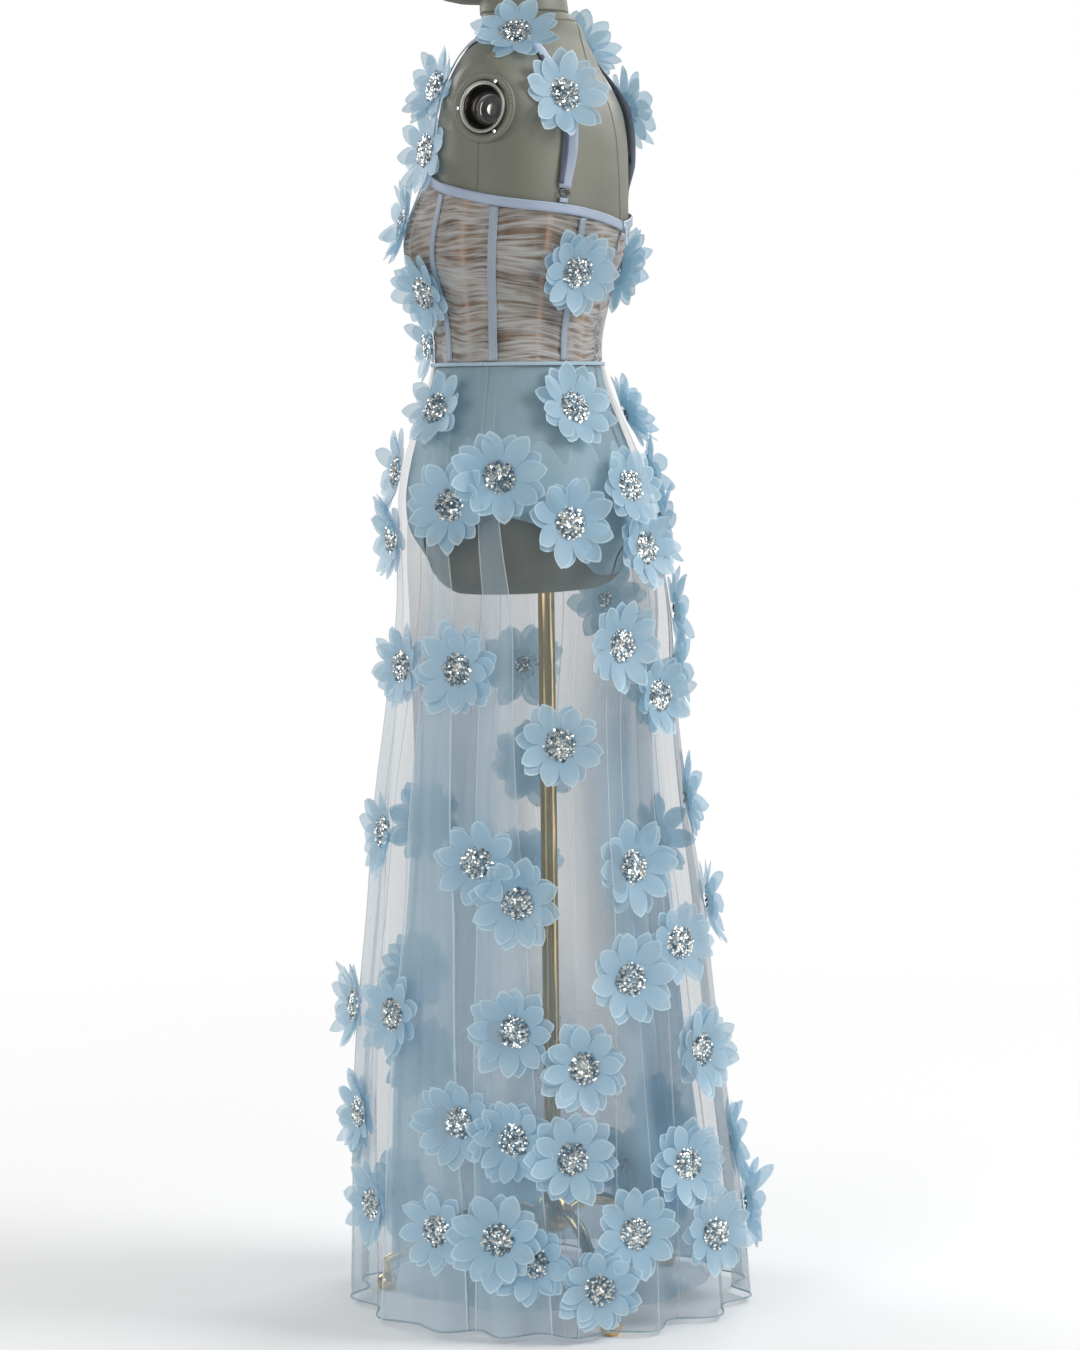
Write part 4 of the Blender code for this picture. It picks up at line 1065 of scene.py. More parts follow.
satin_finish = cloth_finish(
    "blue_satin", SATIN, SATIN_SHADE, 0.0006, 0.00006, roughness=0.38, sheen_weight=0.3, anisotropic=0.4
)
ribbon_finish = cloth_finish(
    "sheer_ribbon", RIBBON, RIBBON_SHADE, 0.0009, 0.00006, roughness=0.45, alpha=0.56
)
blue_thread_finish = cloth_finish("blue_thread", THREAD, THREAD_SHADE, 0.0005, 0.0001, roughness=0.6)


def band(name, centres, across, outward, half, thick, finish, bow=0.25):
    """A flat band with rounded edges: the middles of its inner face, and its ways across and outwards."""
    shoulder = 1 + bow * 0.7
    section = [(-1, 0), (-1, 0.55), (-0.93, 1.0), (-0.5, shoulder), (0, 1 + bow)]
    section += [(-a, b) for a, b in section[-2::-1]]
    rows = []
    for centre, side, out in zip(centres, across, outward):
        wide = np.array(side) * half
        high = np.array(out) * thick
        rows.append([np.array(centre) + wide * a + high * b for a, b in section])
    return grid_mesh(name, rows, finish, around=True, ends=True)


def line_frame(line, outside):
    """The ways across and outwards at each point of a line; outside is the same line moved outwards."""
    ahead = np.gradient(line, axis=0)
    out = outside - line
    out /= np.linalg.norm(out, axis=1)[:, None]
    across = np.cross(ahead, out)
    across /= np.linalg.norm(across, axis=1)[:, None]
    return across, out


def stitch_row(line, out, pitch=0.0026):
    """Spots for a row of stitches along a line, lying on a surface that looks outwards."""
    line = np.asarray(line, float)
    steps = np.linalg.norm(np.diff(line, axis=0), axis=1)
    run = np.concatenate([[0], np.cumsum(steps)])
    spots = []
    for s in np.arange(pitch / 2, run[-1], pitch):
        at = np.array([np.interp(s, run, line[:, k]) for k in range(3)])
        before = np.array([np.interp(s - 0.001, run, line[:, k]) for k in range(3)])
        after = np.array([np.interp(s + 0.001, run, line[:, k]) for k in range(3)])
        facing = Vector([np.interp(s, run, out[:, k]) for k in range(3)]).normalized()
        along = Vector(after - before).normalized()
        spots.append((at, facing, along_spin(facing, along), 1.0, 0.5))
    return spots


bodice_stitches = []
for k, angle in enumerate(CHANNELS, 1):
    for side_name, side in SIDES:
        middle = angle if side > 0 else 180 - angle
        z = np.linspace(WAIST_Z + 0.0055, float(top_edge(middle)) - BINDING_H - 0.0006, 60)
        line = body_at(np.full(60, float(middle)), z, CHANNEL_OUT)
        across, out = line_frame(line, body_at(np.full(60, float(middle)), z, CHANNEL_OUT + 0.01))
        channel = band(f"channel_{k}_{side_name}", line, across, out, CHANNEL_W / 2, 0.0011, ribbon_finish)
        settle(channel, "satin", f"bone_channel_{k}_{side_name}")
        for share in (-0.72, 0.72):
            edge = line + across * CHANNEL_W / 2 * share + out * 0.0013
            bodice_stitches += stitch_row(edge, out)

turns = np.linspace(90 + ZIP_HALF - 360, 90 - ZIP_HALF, 241)
line = body_at(turns, top_edge(turns) - BINDING_H / 2 + 0.0003, CHANNEL_OUT)
across, out = line_frame(line, body_at(turns, top_edge(turns) - BINDING_H / 2 + 0.0003, CHANNEL_OUT + 0.01))
binding = band("satin_binding", line, across, out, BINDING_H / 2, CLOTH, satin_finish, 0.15)
settle(binding, "satin", "top_binding")
bodice_stitches += stitch_row(line - across * BINDING_H * 0.33 + out * (CLOTH + 0.0001), out, 0.0028)
settle(scatter("bodice_stitches", bodice_stitches, stitch, 0.0010, blue_thread_finish), "satin")


# Skirt
# Four widths of soft tulle fall from the waist seam to a rolled hem, with a second tube of tulle inside them.
# The cloth doubles over itself in long folds that widen downwards. Their creased edges are denser, and a
# painted highlight lightens them.
SKIRT = np.array(
    [
        (0.000, 0.218, 0.218, -0.0030), (0.104, 0.212, 0.212, -0.0060), (0.211, 0.205, 0.204, -0.0120),
        (0.318, 0.198, 0.193, -0.0150), (0.425, 0.192, 0.181, -0.0150), (0.532, 0.188, 0.168, -0.0180),
        (0.638, 0.186, 0.154, -0.0160), (0.745, 0.185, 0.143, -0.0120), (0.832, 0.184, 0.133, -0.0190),
        (0.880, 0.177, 0.1275, -0.0220), (0.940, 0.153, 0.108, -0.0260),
        (0.980, 0.1268, 0.0938, -0.0275), (1.0045, 0.1184, 0.0884, -0.0280),
    ]
)
HEM_Z = 0.006
SKIRT_TOP = 1.0045
FOLDS = [
    (-90, 0.018), (-66, 0.020), (-38, 0.014), (-14, 0.024), (4, 0.022), (25, 0.016), (47, 0.030),
    (72, 0.020), (98, 0.022), (122, 0.018), (148, 0.014), (172, 0.024), (196, 0.020), (220, 0.026),
    (246, 0.016),
]
# Doubled strips: the left edge's angle at the waist and at the hem, the right edge's, the top height and the
# strength
STRIPS = [
    (-64, -70, -58, -52, 0.90, 0.8), (-21, -37, -15, -8, 0.97, 1.0), (7, -6, 9.5, 18, 1.00, 1.0),
    (46, 20, 47, 25, 0.80, 0.9), (66, 37, 74, 49, 0.80, 1.0), (82, 62, 84, 67, 0.85, 0.7),
    (108, 98, 112, 112, 0.96, 0.9), (146, 140, 152, 156, 0.92, 0.8), (184, 178, 188, 194, 0.98, 1.0),
    (221, 214, 226, 232, 0.94, 0.9), (256, 254, 260, 268, 0.92, 0.8),
]
SKIRT_PANELS = [
    ("skirt_front_left", -78, 21.5),
    ("skirt_back_left", 21.5, 85),
    ("skirt_back_right", 85, 184),
    ("skirt_front_right", 184, 282),
]
TULLE = (0.190, 0.215, 0.218)
TULLE_BLUE = (0.230, 0.420, 0.570)
TULLE_DOUBLE = (0.500, 0.645, 0.735)
TULLE_CREASE_HIGHLIGHT = (0.720, 0.800, 0.840)
TULLE_ALPHA = 0.145
FALL_CURVE = 0.65
# Where the hanging layers lie thickest: angle, half width and the height where it begins
THICK = [
    (-38, 34, 0.80),
    (-8, 14, 0.72),
    (68, 22, 0.82),
    (120, 20, 0.60),
    (150, 26, 0.80),
    (195, 20, 0.45),
    (238, 26, 0.82),
]
EDGE_TURN = 0.35
HEM_HAZE = 0.75
fold_marks = []
for i, (crest, depth) in enumerate(FOLDS):
    after = FOLDS[i + 1][0] if i + 1 < len(FOLDS) else FOLDS[0][0] + 360
    fold_marks += [(crest, 0.0), ((crest + after) / 2, depth)]
fold_marks.append((FOLDS[0][0] + 360, 0.0))
FOLD_MARKS = np.array(fold_marks)


def fold_depth(angle):
    """How deep the skirt's folds lie at an angle of the hem."""
    turned = (angle + 90) % 360 - 90
    at = FOLD_MARKS[:, 0]
    low = np.clip(np.searchsorted(at, turned, side="right") - 1, 0, len(at) - 2)
    t = (turned - at[low]) / (at[low + 1] - at[low])
    wave = (1 - np.cos(np.pi * t)) / 2
    return FOLD_MARKS[low, 1] + (FOLD_MARKS[low + 1, 1] - FOLD_MARKS[low, 1]) * wave


def skirt_at(angle, z, out=0.0):
    """Points of the skirt's outer face at angles and heights, moved outwards by out."""
    angle, z, out = np.broadcast_arrays(*np.atleast_1d(angle, z, out))
    half_w, half_d, centre = smooth_rows(SKIRT, z)
    fall = np.clip((0.96 - z) / 0.96, 0, 1) ** 0.8
    return oval_point(angle, z, half_w, half_d, centre, out - fold_depth(angle) * fall)


tulle_finish, tree, shader = finish_of("soft_tulle", roughness=0.65)
cut = node(tree, "ShaderNodeUVMap", uv_map="cut").outputs[0]
doubled = mark_on(tree, "doubled")
creased = mark_on(tree, "creased")
haze = mark_on(tree, "haze")
net = placed_group(tree, weave, Vector=cut, Pitch=0.0016).outputs["Height"]
streaks = mark_on(tree, "streak")
blue = reckoned(tree, "MULTIPLY_ADD", streaks, 0.22, haze, clamp=True)
laid_twice = reckoned(tree, "MULTIPLY", doubled, 0.75, clamp=True)
plain = mixed(tree, laid_twice, mixed(tree, blue, TULLE, TULLE_BLUE), TULLE_DOUBLE)
# Creased edges are painted lighter: a painted highlight along the folds' edges, while their raised opacity is
# the cloth lying double
dyed(tree, shader, creased, plain, TULLE_CREASE_HIGHLIGHT)
veil = reckoned(tree, "MULTIPLY_ADD", streaks, 0.05, TULLE_ALPHA - 0.03)
veil = reckoned(tree, "MULTIPLY_ADD", net, 0.02, veil)
veil = reckoned(tree, "MULTIPLY_ADD", doubled, 0.22, veil)
veil = reckoned(tree, "MULTIPLY_ADD", haze, 0.36, veil)
veil = reckoned(tree, "MULTIPLY_ADD", creased, 0.50, veil, clamp=True)
tree.links.new(veil, shader.inputs["Alpha"])


def thickness(angle, z):
    """How thick the hanging layers lie at angles and heights, from 0 to 1."""
    angle, z = np.broadcast_arrays(angle, z)
    found = np.zeros(angle.shape)
    for middle, half, high in THICK:
        off = np.abs((angle - middle + 180) % 360 - 180)
        found = np.maximum(found, np.exp(-((off / half) ** 2)) * np.clip((high - z) / 0.22, 0, 1))
    return np.maximum(found, HEM_HAZE * np.clip((0.46 - z) / 0.34, 0, 1))


def streaks_at(angle, z, seed):
    """Long soft streaks down the cloth, from 0 to 1."""
    angle, z = np.broadcast_arrays(angle, z)
    spots = [Vector((a * 0.22, h * 2.2, seed)) for a, h in zip(angle.ravel(), z.ravel())]
    found = [noise.fractal(spot, 1.0, 2.0, 2) for spot in spots]
    return np.clip(0.5 + 0.9 * np.array(found).reshape(angle.shape), 0, 1)


def skirt_columns(first, last, spacing):
    """A skirt panel's columns as angles at the waist and the hem, and the edges of the strips among them."""
    lines = []
    for w_left, h_left, w_right, h_right, high, strength in STRIPS:
        for turned in (-360, 0, 360):
            for waist_angle, hem_angle, inside in ((w_left, h_left, 1), (w_right, h_right, -1)):
                if first + 2 < hem_angle + turned < last - 2 and first + 2 < waist_angle + turned < last - 2:
                    lines.append((waist_angle + turned, hem_angle + turned, inside, high, strength))
    knots = [(first, first)] + [(w, h) for w, h, *_ in lines] + [(last, last)]
    knots.sort(key=lambda knot: knot[0] + knot[1])
    columns = []
    for (w0, h0), (w1, h1) in zip(knots, knots[1:]):
        count = max(2, round(max(w1 - w0, h1 - h0) / spacing))
        for k in range(count):
            columns.append((w0 + (w1 - w0) * k / count, h0 + (h1 - h0) * k / count))
    columns.append(knots[-1])
    edges = []
    for w, h, *_ in lines:
        edges += [(w - EDGE_TURN, h - EDGE_TURN), (w + EDGE_TURN, h + EDGE_TURN)]
    kept = []
    for column in columns:
        gaps = [abs(sum(column) - w - h) for w, h, *_ in lines]
        if all(gap < 1e-6 or gap > 4 * EDGE_TURN for gap in gaps):
            kept.append(column)
    columns = sorted(kept + edges, key=lambda c: c[0] + c[1])
    return np.array(columns), lines


def skirt_sheet(first, last, out, spacing=1.25):
    """The grid of a skirt panel and how doubled and creased its cloth is at each point."""
    columns, lines = skirt_columns(first, last, spacing)
    z = np.concatenate([np.linspace(HEM_Z, 0.90, 75), np.linspace(0.905, SKIRT_TOP, 22)])[:, None]
    share = ((SKIRT_TOP - z) / (SKIRT_TOP - HEM_Z)) ** FALL_CURVE
    angle = columns[None, :, 0] * (1 - share) + columns[None, :, 1] * share
    doubled = np.zeros(angle.shape)
    creased = np.zeros(angle.shape)
    for waist_angle, hem_angle, inside, high, strength in lines:
        line = waist_angle * (1 - share) + hem_angle * share
        fade = np.clip((high - z) / 0.12, 0, 1) * strength
        side = (angle - line) * inside
        doubled += np.where(side > -EDGE_TURN * 0.5, fade, 0) - (fade if inside < 0 else 0)
        creased = np.maximum(creased, fade * (np.abs(angle - line) < EDGE_TURN * 0.5))
    doubled = np.clip(doubled, 0, 1.5)
    ripple = 0.0011 * np.sin(np.radians(angle) * 41 + 3 * np.sin(np.radians(angle) * 3))
    ripple = ripple * np.clip((0.93 - z) / 0.4, 0, 1)
    points = skirt_at(angle, z, out + ripple + 0.0010 * creased + 0.0004 * doubled)
    return points, {
        "doubled": doubled,
        "creased": creased,
        "haze": 0.34 * thickness(angle, z),
        "streak": streaks_at(angle, z, 1.5),
    }


skirt_sheets = {}
for name, first, last in SKIRT_PANELS:
    points, marks = skirt_sheet(first + 0.08, last - 0.08, -0.0008)
    sheet = grid_mesh(f"{name}_tulle", points, tulle_finish, marks)
    settle(sheet, "tulle", name)
    skirt_sheets[name] = (sheet, points)

# The inner tube hangs free of the outer widths and of the form, with its own slower folds
UNDER_IN = 0.0085
angles = np.arange(0, 360, 1.5)[None, :]
z = np.concatenate([np.linspace(HEM_Z + 0.018, 0.90, 70), np.linspace(0.905, 1.001, 18)])[:, None]
fall = np.clip((0.985 - z) / 0.10, 0, 1)
deep = np.clip((0.80 - z) / 0.30, 0, 1)
deep = deep * deep * (3 - 2 * deep)
sway = 0.0050 * np.sin(np.radians(angles) * 7 + 1.0) + 0.0035 * np.sin(np.radians(angles) * 12 + 2.2)
half_w, half_d, centre = smooth_rows(SKIRT, z)
folded = fold_depth(angles) * np.clip((0.96 - z) / 0.96, 0, 1) ** 0.8
inward = -0.0022 - UNDER_IN * fall - folded * (1 - deep) - 0.034 * deep + sway * deep
under_points = oval_point(angles, z, half_w, half_d, centre, inward)
under_marks = {
    "doubled": np.clip(sway / 0.010, 0, 0.8) * deep,
    "creased": 0.0,
    "haze": thickness(angles, z),
    "streak": streaks_at(angles, z, 8.5),
}
under_sheet = grid_mesh("inner_tulle_tube", under_points, tulle_finish, under_marks, around=True)
settle(under_sheet, "tulle")
flat, area = cut_of(under_points, around=True)

# Rolled hem: the edge is turned twice and sewn down into a thin firm cord
HEM_R = 0.0009
HEM = (0.360, 0.470, 0.520)
HEM_SHADE = (0.290, 0.390, 0.440)
TAPE = (0.420, 0.560, 0.640)
TAPE_SHADE = (0.350, 0.480, 0.560)
hem_finish = cloth_finish("rolled_tulle_hem", HEM, HEM_SHADE, 0.0009, 0.0001, roughness=0.7)
hem_turns = np.arange(0, 360, 1.0)
hem_line = skirt_at(hem_turns, np.full(hem_turns.shape, HEM_Z + 0.0005), -0.0008)
hem = settle(tube("rolled_hem", hem_line, HEM_R, hem_finish, 8, closed=True), "tulle")

# Waist tape: a narrow ribbon over the waist seam
waist_finish = cloth_finish("waist_ribbon", TAPE, TAPE_SHADE, 0.0009, 0.0001, roughness=0.6)
tape_turns = np.arange(0, 361.5, 1.5)
tape_z = np.full(tape_turns.shape, SKIRT_TOP - 0.0022)
tape_line = skirt_at(tape_turns, tape_z, -0.0004)
tape_across, tape_out = line_frame(tape_line, skirt_at(tape_turns, tape_z, 0.01))
waist_tape = band("waist_tape", tape_line, tape_across, tape_out, 0.0019, 0.0005, waist_finish, 0.2)
settle(waist_tape, "satin")


# Straps
# Satin straps cross the shoulders. The front end is sewn under the binding, the back end is folded through a
# small dark ring on a satin tab, and a slider on the back part sets the length.
STRAP_HALF = 0.0072
STRAP_OUT = 0.0019
SHOULDER_Y = -0.012
SHOULDER_Z = 1.255
STRAP_FRONT = [
    (0.094, 1.2038, None),
    (0.095, 1.2180, None),
    (0.097, 1.2350, None),
    (0.098, None, 0),
    (0.098, None, 18),
    (0.098, None, 34),
    (0.098, None, 48),
    (0.098, None, 60),
    (0.097, None, 72),
    (0.097, None, 84),
]
STRAP_BACK = [
    (0.097, None, 85),
    (0.097, None, 98),
    (0.098, None, 110),
    (0.099, None, 122),
    (0.100, None, 135),
    (0.101, None, 150),
    (0.102, None, 166),
    (0.103, None, 180),
    (0.104, 1.2350, None),
    (0.105, 1.2100, None),
    (0.106, 1.1815, None),
]
RING_Z = 1.1760
SLIDER_Z = {"left": 1.250, "right": 1.222}
SLIDER_OUT = {"left": 0.0043, "right": 0.0048}
STRAP_TWIST = 34.0
STRAP_SATIN = (0.500, 0.570, 0.680)
STRAP_SHADE = (0.250, 0.300, 0.430)
# Colours of a dark strip on the back straps: painted shade of their folded edge
FOLD_PAINTED_SHADE = (0.110, 0.130, 0.200)
FOLD_PAINTED_SHADE_DARK = (0.060, 0.070, 0.120)
RING_HALF = (0.0072, 0.0036)
SLIDER_HALF = (0.0078, 0.0036)
WIRE_R = 0.0007


def tree_of(objects):
    """One search tree over the faces of several meshes."""
    points = []
    faces = []
    for obj in objects:
        base = len(points)
        points += [v.co.copy() for v in obj.data.vertices]
        faces += [tuple(base + i for i in p.vertices) for p in obj.data.polygons]
    return BVHTree.FromPolygons(points, faces)


torso_tree = tree_of([torso])
fold_shade_finish = cloth_finish("strap_fold_painted_shade", FOLD_PAINTED_SHADE, FOLD_PAINTED_SHADE_DARK, 0.0007, 0.00008, roughness=0.45)
strap_finish = cloth_finish(
    "strap_satin",
    STRAP_SATIN,
    STRAP_SHADE,
    0.0007,
    0.00008,
    roughness=0.33,
    sheen_weight=0.35,
    anisotropic=0.5,
)


def pressed(x, z, turned, behind):
    """The skin point on the line that looks in at a strap guide, and the way that the line comes from."""
    if turned is None:
        away = Vector((0, 1 if behind else -1, 0))
        aim = Vector((x, SHOULDER_Y, z))
    else:
        away = Vector((0, -math.cos(math.radians(turned)), math.sin(math.radians(turned))))
        aim = Vector((x, SHOULDER_Y, SHOULDER_Z))
    hit, _, _, _ = torso_tree.ray_cast(aim + away * 0.3, -away)
    return hit, away


def strap_rows(guides, side, behind):
    """The middle, the way across and the outward way at each guide of a strap."""
    pairs = [[pressed(side * x + w, z, t, behind) for w in (-STRAP_HALF, STRAP_HALF)] for x, z, t in guides]
    rows = []
    for i, pair in enumerate(pairs):
        before = pairs[max(i - 1, 0)]
        after = pairs[min(i + 1, len(pairs) - 1)]
        along = (after[0][0] + after[1][0] - before[0][0] - before[1][0]).normalized()
        across = (pair[1][0] - pair[0][0]).normalized()
        up = across.cross(along).normalized()
        if up.dot(pair[0][1]) < 0:
            up = -up
        rows.append(((pair[0][0] + pair[1][0]) / 2, across, up))
    return rows


def finer(rows, count):
    """More rows between the given ones, on smooth curves."""
    table = np.array([[i, *a, *b, *c] for i, (a, b, c) in enumerate(rows)], float)
    found = smooth_rows(table, np.linspace(0, len(rows) - 1, count)).T
    return found[:, 0:3], found[:, 3:6], found[:, 6:9]


strap_lines = {}
for side_name, side in SIDES:
    for part_name, guides, behind in (("front", STRAP_FRONT, False), ("back", STRAP_BACK, True)):
        name = f"strap_{part_name}_{side_name}"
        middle, _, out = finer(strap_rows(guides, side, behind), 70)
        strap_lines[name] = (middle, out)
        ahead = np.gradient(middle, axis=0)
        across = np.cross(ahead, out)
        across /= np.linalg.norm(across, axis=1)[:, None]
        outer = across * np.sign(across[:, :1]) * side
        run = np.linspace(0, 1, len(middle))[:, None]
        twisted = STRAP_TWIST * np.clip((run - 0.35) / 0.25, 0, 1) * np.clip((1.0 - run) / 0.12, 0.25, 1)
        twisted = np.radians(twisted) * (part_name == "back")
        leant = outer * np.cos(twisted) - out * np.sin(twisted)
        faced = out * np.cos(twisted) + outer * np.sin(twisted)
        lift = STRAP_HALF * np.sin(twisted)
        centres = middle + out * (STRAP_OUT + lift)
        ways = leant * np.sign((leant * across).sum(axis=1))[:, None]
        strap = band(f"{name}_satin", centres, ways, faced, STRAP_HALF, 0.0012, strap_finish, 0.2)
        settle(strap, "satin", name)
        if part_name == "back":
            # A dark strip along one edge of the back strap: painted shade where the satin folds over
            fold_half = 1.0 + 0.4 * np.sin(np.linspace(0, 9, len(middle)))[:, None]
            line = centres + leant * (STRAP_HALF - 0.0016) + faced * 0.0013
            rows = slice(24, len(middle) - 1)
            fold_ways = (ways * fold_half)[rows]
            fold = band(
                f"{name}_fold", line[rows], fold_ways, faced[rows], 0.0022, 0.0008, fold_shade_finish, 0.3
            )
            settle(fold, "satin")

oval = [(math.cos(2 * math.pi * k / 40), math.sin(2 * math.pi * k / 40)) for k in range(40)]
for side_name, side in SIDES:
    at_ring, _ = pressed(side * 0.106, RING_Z, None, True)
    facing = Vector((side * 0.45, 0.89, 0.0)).normalized()
    level = UPWARDS.cross(facing).normalized()
    over = facing.cross(level)
    ring_w, ring_h = RING_HALF
    path = [at_ring + facing * 0.0026 + level * c * ring_w + over * s * ring_h for c, s in oval]
    loop = tube(f"wire_ring_{side_name}", path, 0.0009, dark_steel_finish, 12, closed=True)
    settle(loop, "dark_metal", f"strap_ring_{side_name}")
    rows = []
    for down in np.linspace(-0.0023, 0.0023, 8):
        hit, _ = pressed(side * 0.106, 1.1688 + down, None, True)
        rows.append(np.array(hit) + np.array(facing) * 0.0018)
    rows = np.array(rows)
    outs = np.broadcast_to(np.array(facing), rows.shape)
    across = np.cross(np.gradient(rows, axis=0), outs)
    across /= np.linalg.norm(across, axis=1)[:, None]
    tab = band(f"satin_tab_{side_name}", rows, across, outs, 0.0058, 0.0011, strap_finish, 0.3)
    settle(tab, "satin", f"strap_tab_{side_name}")
    z = SLIDER_Z[side_name]
    around = [(dx, dz) for dz in (-0.0042, 0.0042) for dx in (-0.0085, 0.0085)]
    corners = [pressed(side * 0.104 + dx, z + dz, None, True)[0] for dx, dz in around]
    facing = (corners[1] - corners[0]).cross(corners[2] - corners[0]).normalized()
    facing = facing if facing.y > 0 else -facing
    middle = sum(corners, Vector()) / 4 + facing * (SLIDER_OUT[side_name] + 0.0006)
    level = (corners[1] - corners[0]).normalized()
    over = facing.cross(level)
    if over.z < 0:
        over = -over
    half_w, half_h = SLIDER_HALF
    outline = []
    for c, s in oval:
        x = math.copysign(abs(c) ** 0.45, c) * half_w
        y = math.copysign(abs(s) ** 0.45, s) * half_h
        outline.append(middle + level * x + over * y)
    slider = tube(f"slider_loop_{side_name}", outline, WIRE_R, dark_steel_finish, 10, closed=True)
    bar_line = np.linspace(middle + over * half_h, middle - over * half_h, 6)
    bar = tube("bar", bar_line, WIRE_R, dark_steel_finish, 10)
    slider_frame = union_of(f"strap_slider_frame_{side_name}", [slider, bar])
    settle(slider_frame, "dark_metal", f"strap_slider_{side_name}")


# Zip
# A concealed zip closes the centre back from the binding to the hip. Its spiral teeth lie between the back
# panels, and a small painted slider with a teardrop pull runs on them.
ZIP_TOP = 1.1490
PULL_TOP = 1.1455
TOOTH_PITCH = 0.0016
PULL_ROWS = np.array(
    [(0.0, 0.0016), (0.003, 0.0030), (0.010, 0.0038), (0.016, 0.0042), (0.0195, 0.0028), (0.0207, 0.0012)]
)
TOOTH_LINE = [(-1, 0, 0), (-0.5, 0, 0.5), (0.5, 0, 0.5), (1, 0, 0)]
TOOTH_THICK = [0.35, 0.45, 0.45, 0.35]

zip_finish = cloth_finish(
    "zip_tape", (0.40, 0.50, 0.60), (0.30, 0.40, 0.50), 0.0007, 0.00008, roughness=0.55
)
paint_finish, tree, shader = finish_of("painted_zip_metal", roughness=0.3, coat_weight=0.3)
where = place_on(tree)
rubbed = placed_group(tree, patches, Vector=where, Scale=160.0, Detail=4.0).outputs["Patches"]
dyed(tree, shader, rubbed, (0.36, 0.46, 0.60), (0.50, 0.62, 0.76))
bumped(tree, shader, rubbed, 0.00005, 0.3)
z = np.linspace(ZIP_LOW, ZIP_TOP, 60)
tape_points = body_at(np.linspace(90 - 0.95, 90 + 0.95, 5)[None, :], z[:, None], SKIN_GAP + 0.0007)
tape = grid_mesh("zip_tape", tape_points, zip_finish)
thicken(tape, 0.0006)
settle(tape, "satin", "zip_coil")
tooth = hidden(tube("tooth", TOOTH_LINE, TOOTH_THICK, paint_finish, 6))
teeth = []
for level in np.arange(ZIP_LOW + 0.001, ZIP_TOP - 0.001, TOOTH_PITCH):
    spot = body_at(90.0, level, SKIN_GAP + 0.0009)[0]
    teeth.append((spot, Vector((0, 1, 0)), along_spin(Vector((0, 1, 0)), Vector((1, 0, 0))), 1.0, 0.5))
settle(scatter("zip_teeth", teeth, tooth, 0.0012, paint_finish), "satin")


def plate_of(name, outline, back, front, finish):
    """A small plate with a rounded face, from half widths down its length: rows of x, y and z."""
    rows = []
    for half, z in outline:
        section = [(-1, 0.0), (-1, 0.55), (-0.8, 1.0), (0, 1.15), (0.8, 1.0), (1, 0.55), (1, 0.0)]
        rows.append([(half * a, back + (front - back) * b / 1.15, z) for a, b in section])
    return closed_up(grid_mesh(name, rows[::-1], finish, around=True, ends=True), facing=True)


slider_y = float(body_at(90.0, 1.1435)[0][1])
slider_rows = [(0.0016, 1.1490), (0.0029, 1.1480), (0.0030, 1.1440), (0.0027, 1.1400), (0.0018, 1.1385)]
slider = plate_of("zip_slider_body", slider_rows, slider_y + 0.0052, slider_y + 0.0076, paint_finish)
settle(slider, "satin", "zip_slider")
pull_y = float(sum(np.interp(PULL_TOP, BODY[:, 0], BODY[:, k]) for k in (4, 3))) + 0.0080
pull_z = np.linspace(0, PULL_ROWS[-1, 0], 24)
pull_half = smooth_rows(PULL_ROWS, pull_z)[0]
pull_rows = [(half, PULL_TOP - down) for half, down in zip(pull_half, pull_z)]
pull = plate_of("zip_pull_tab", pull_rows, pull_y, pull_y + 0.0012, paint_finish)
settle(pull, "satin", "zip_pull", body=PULL)


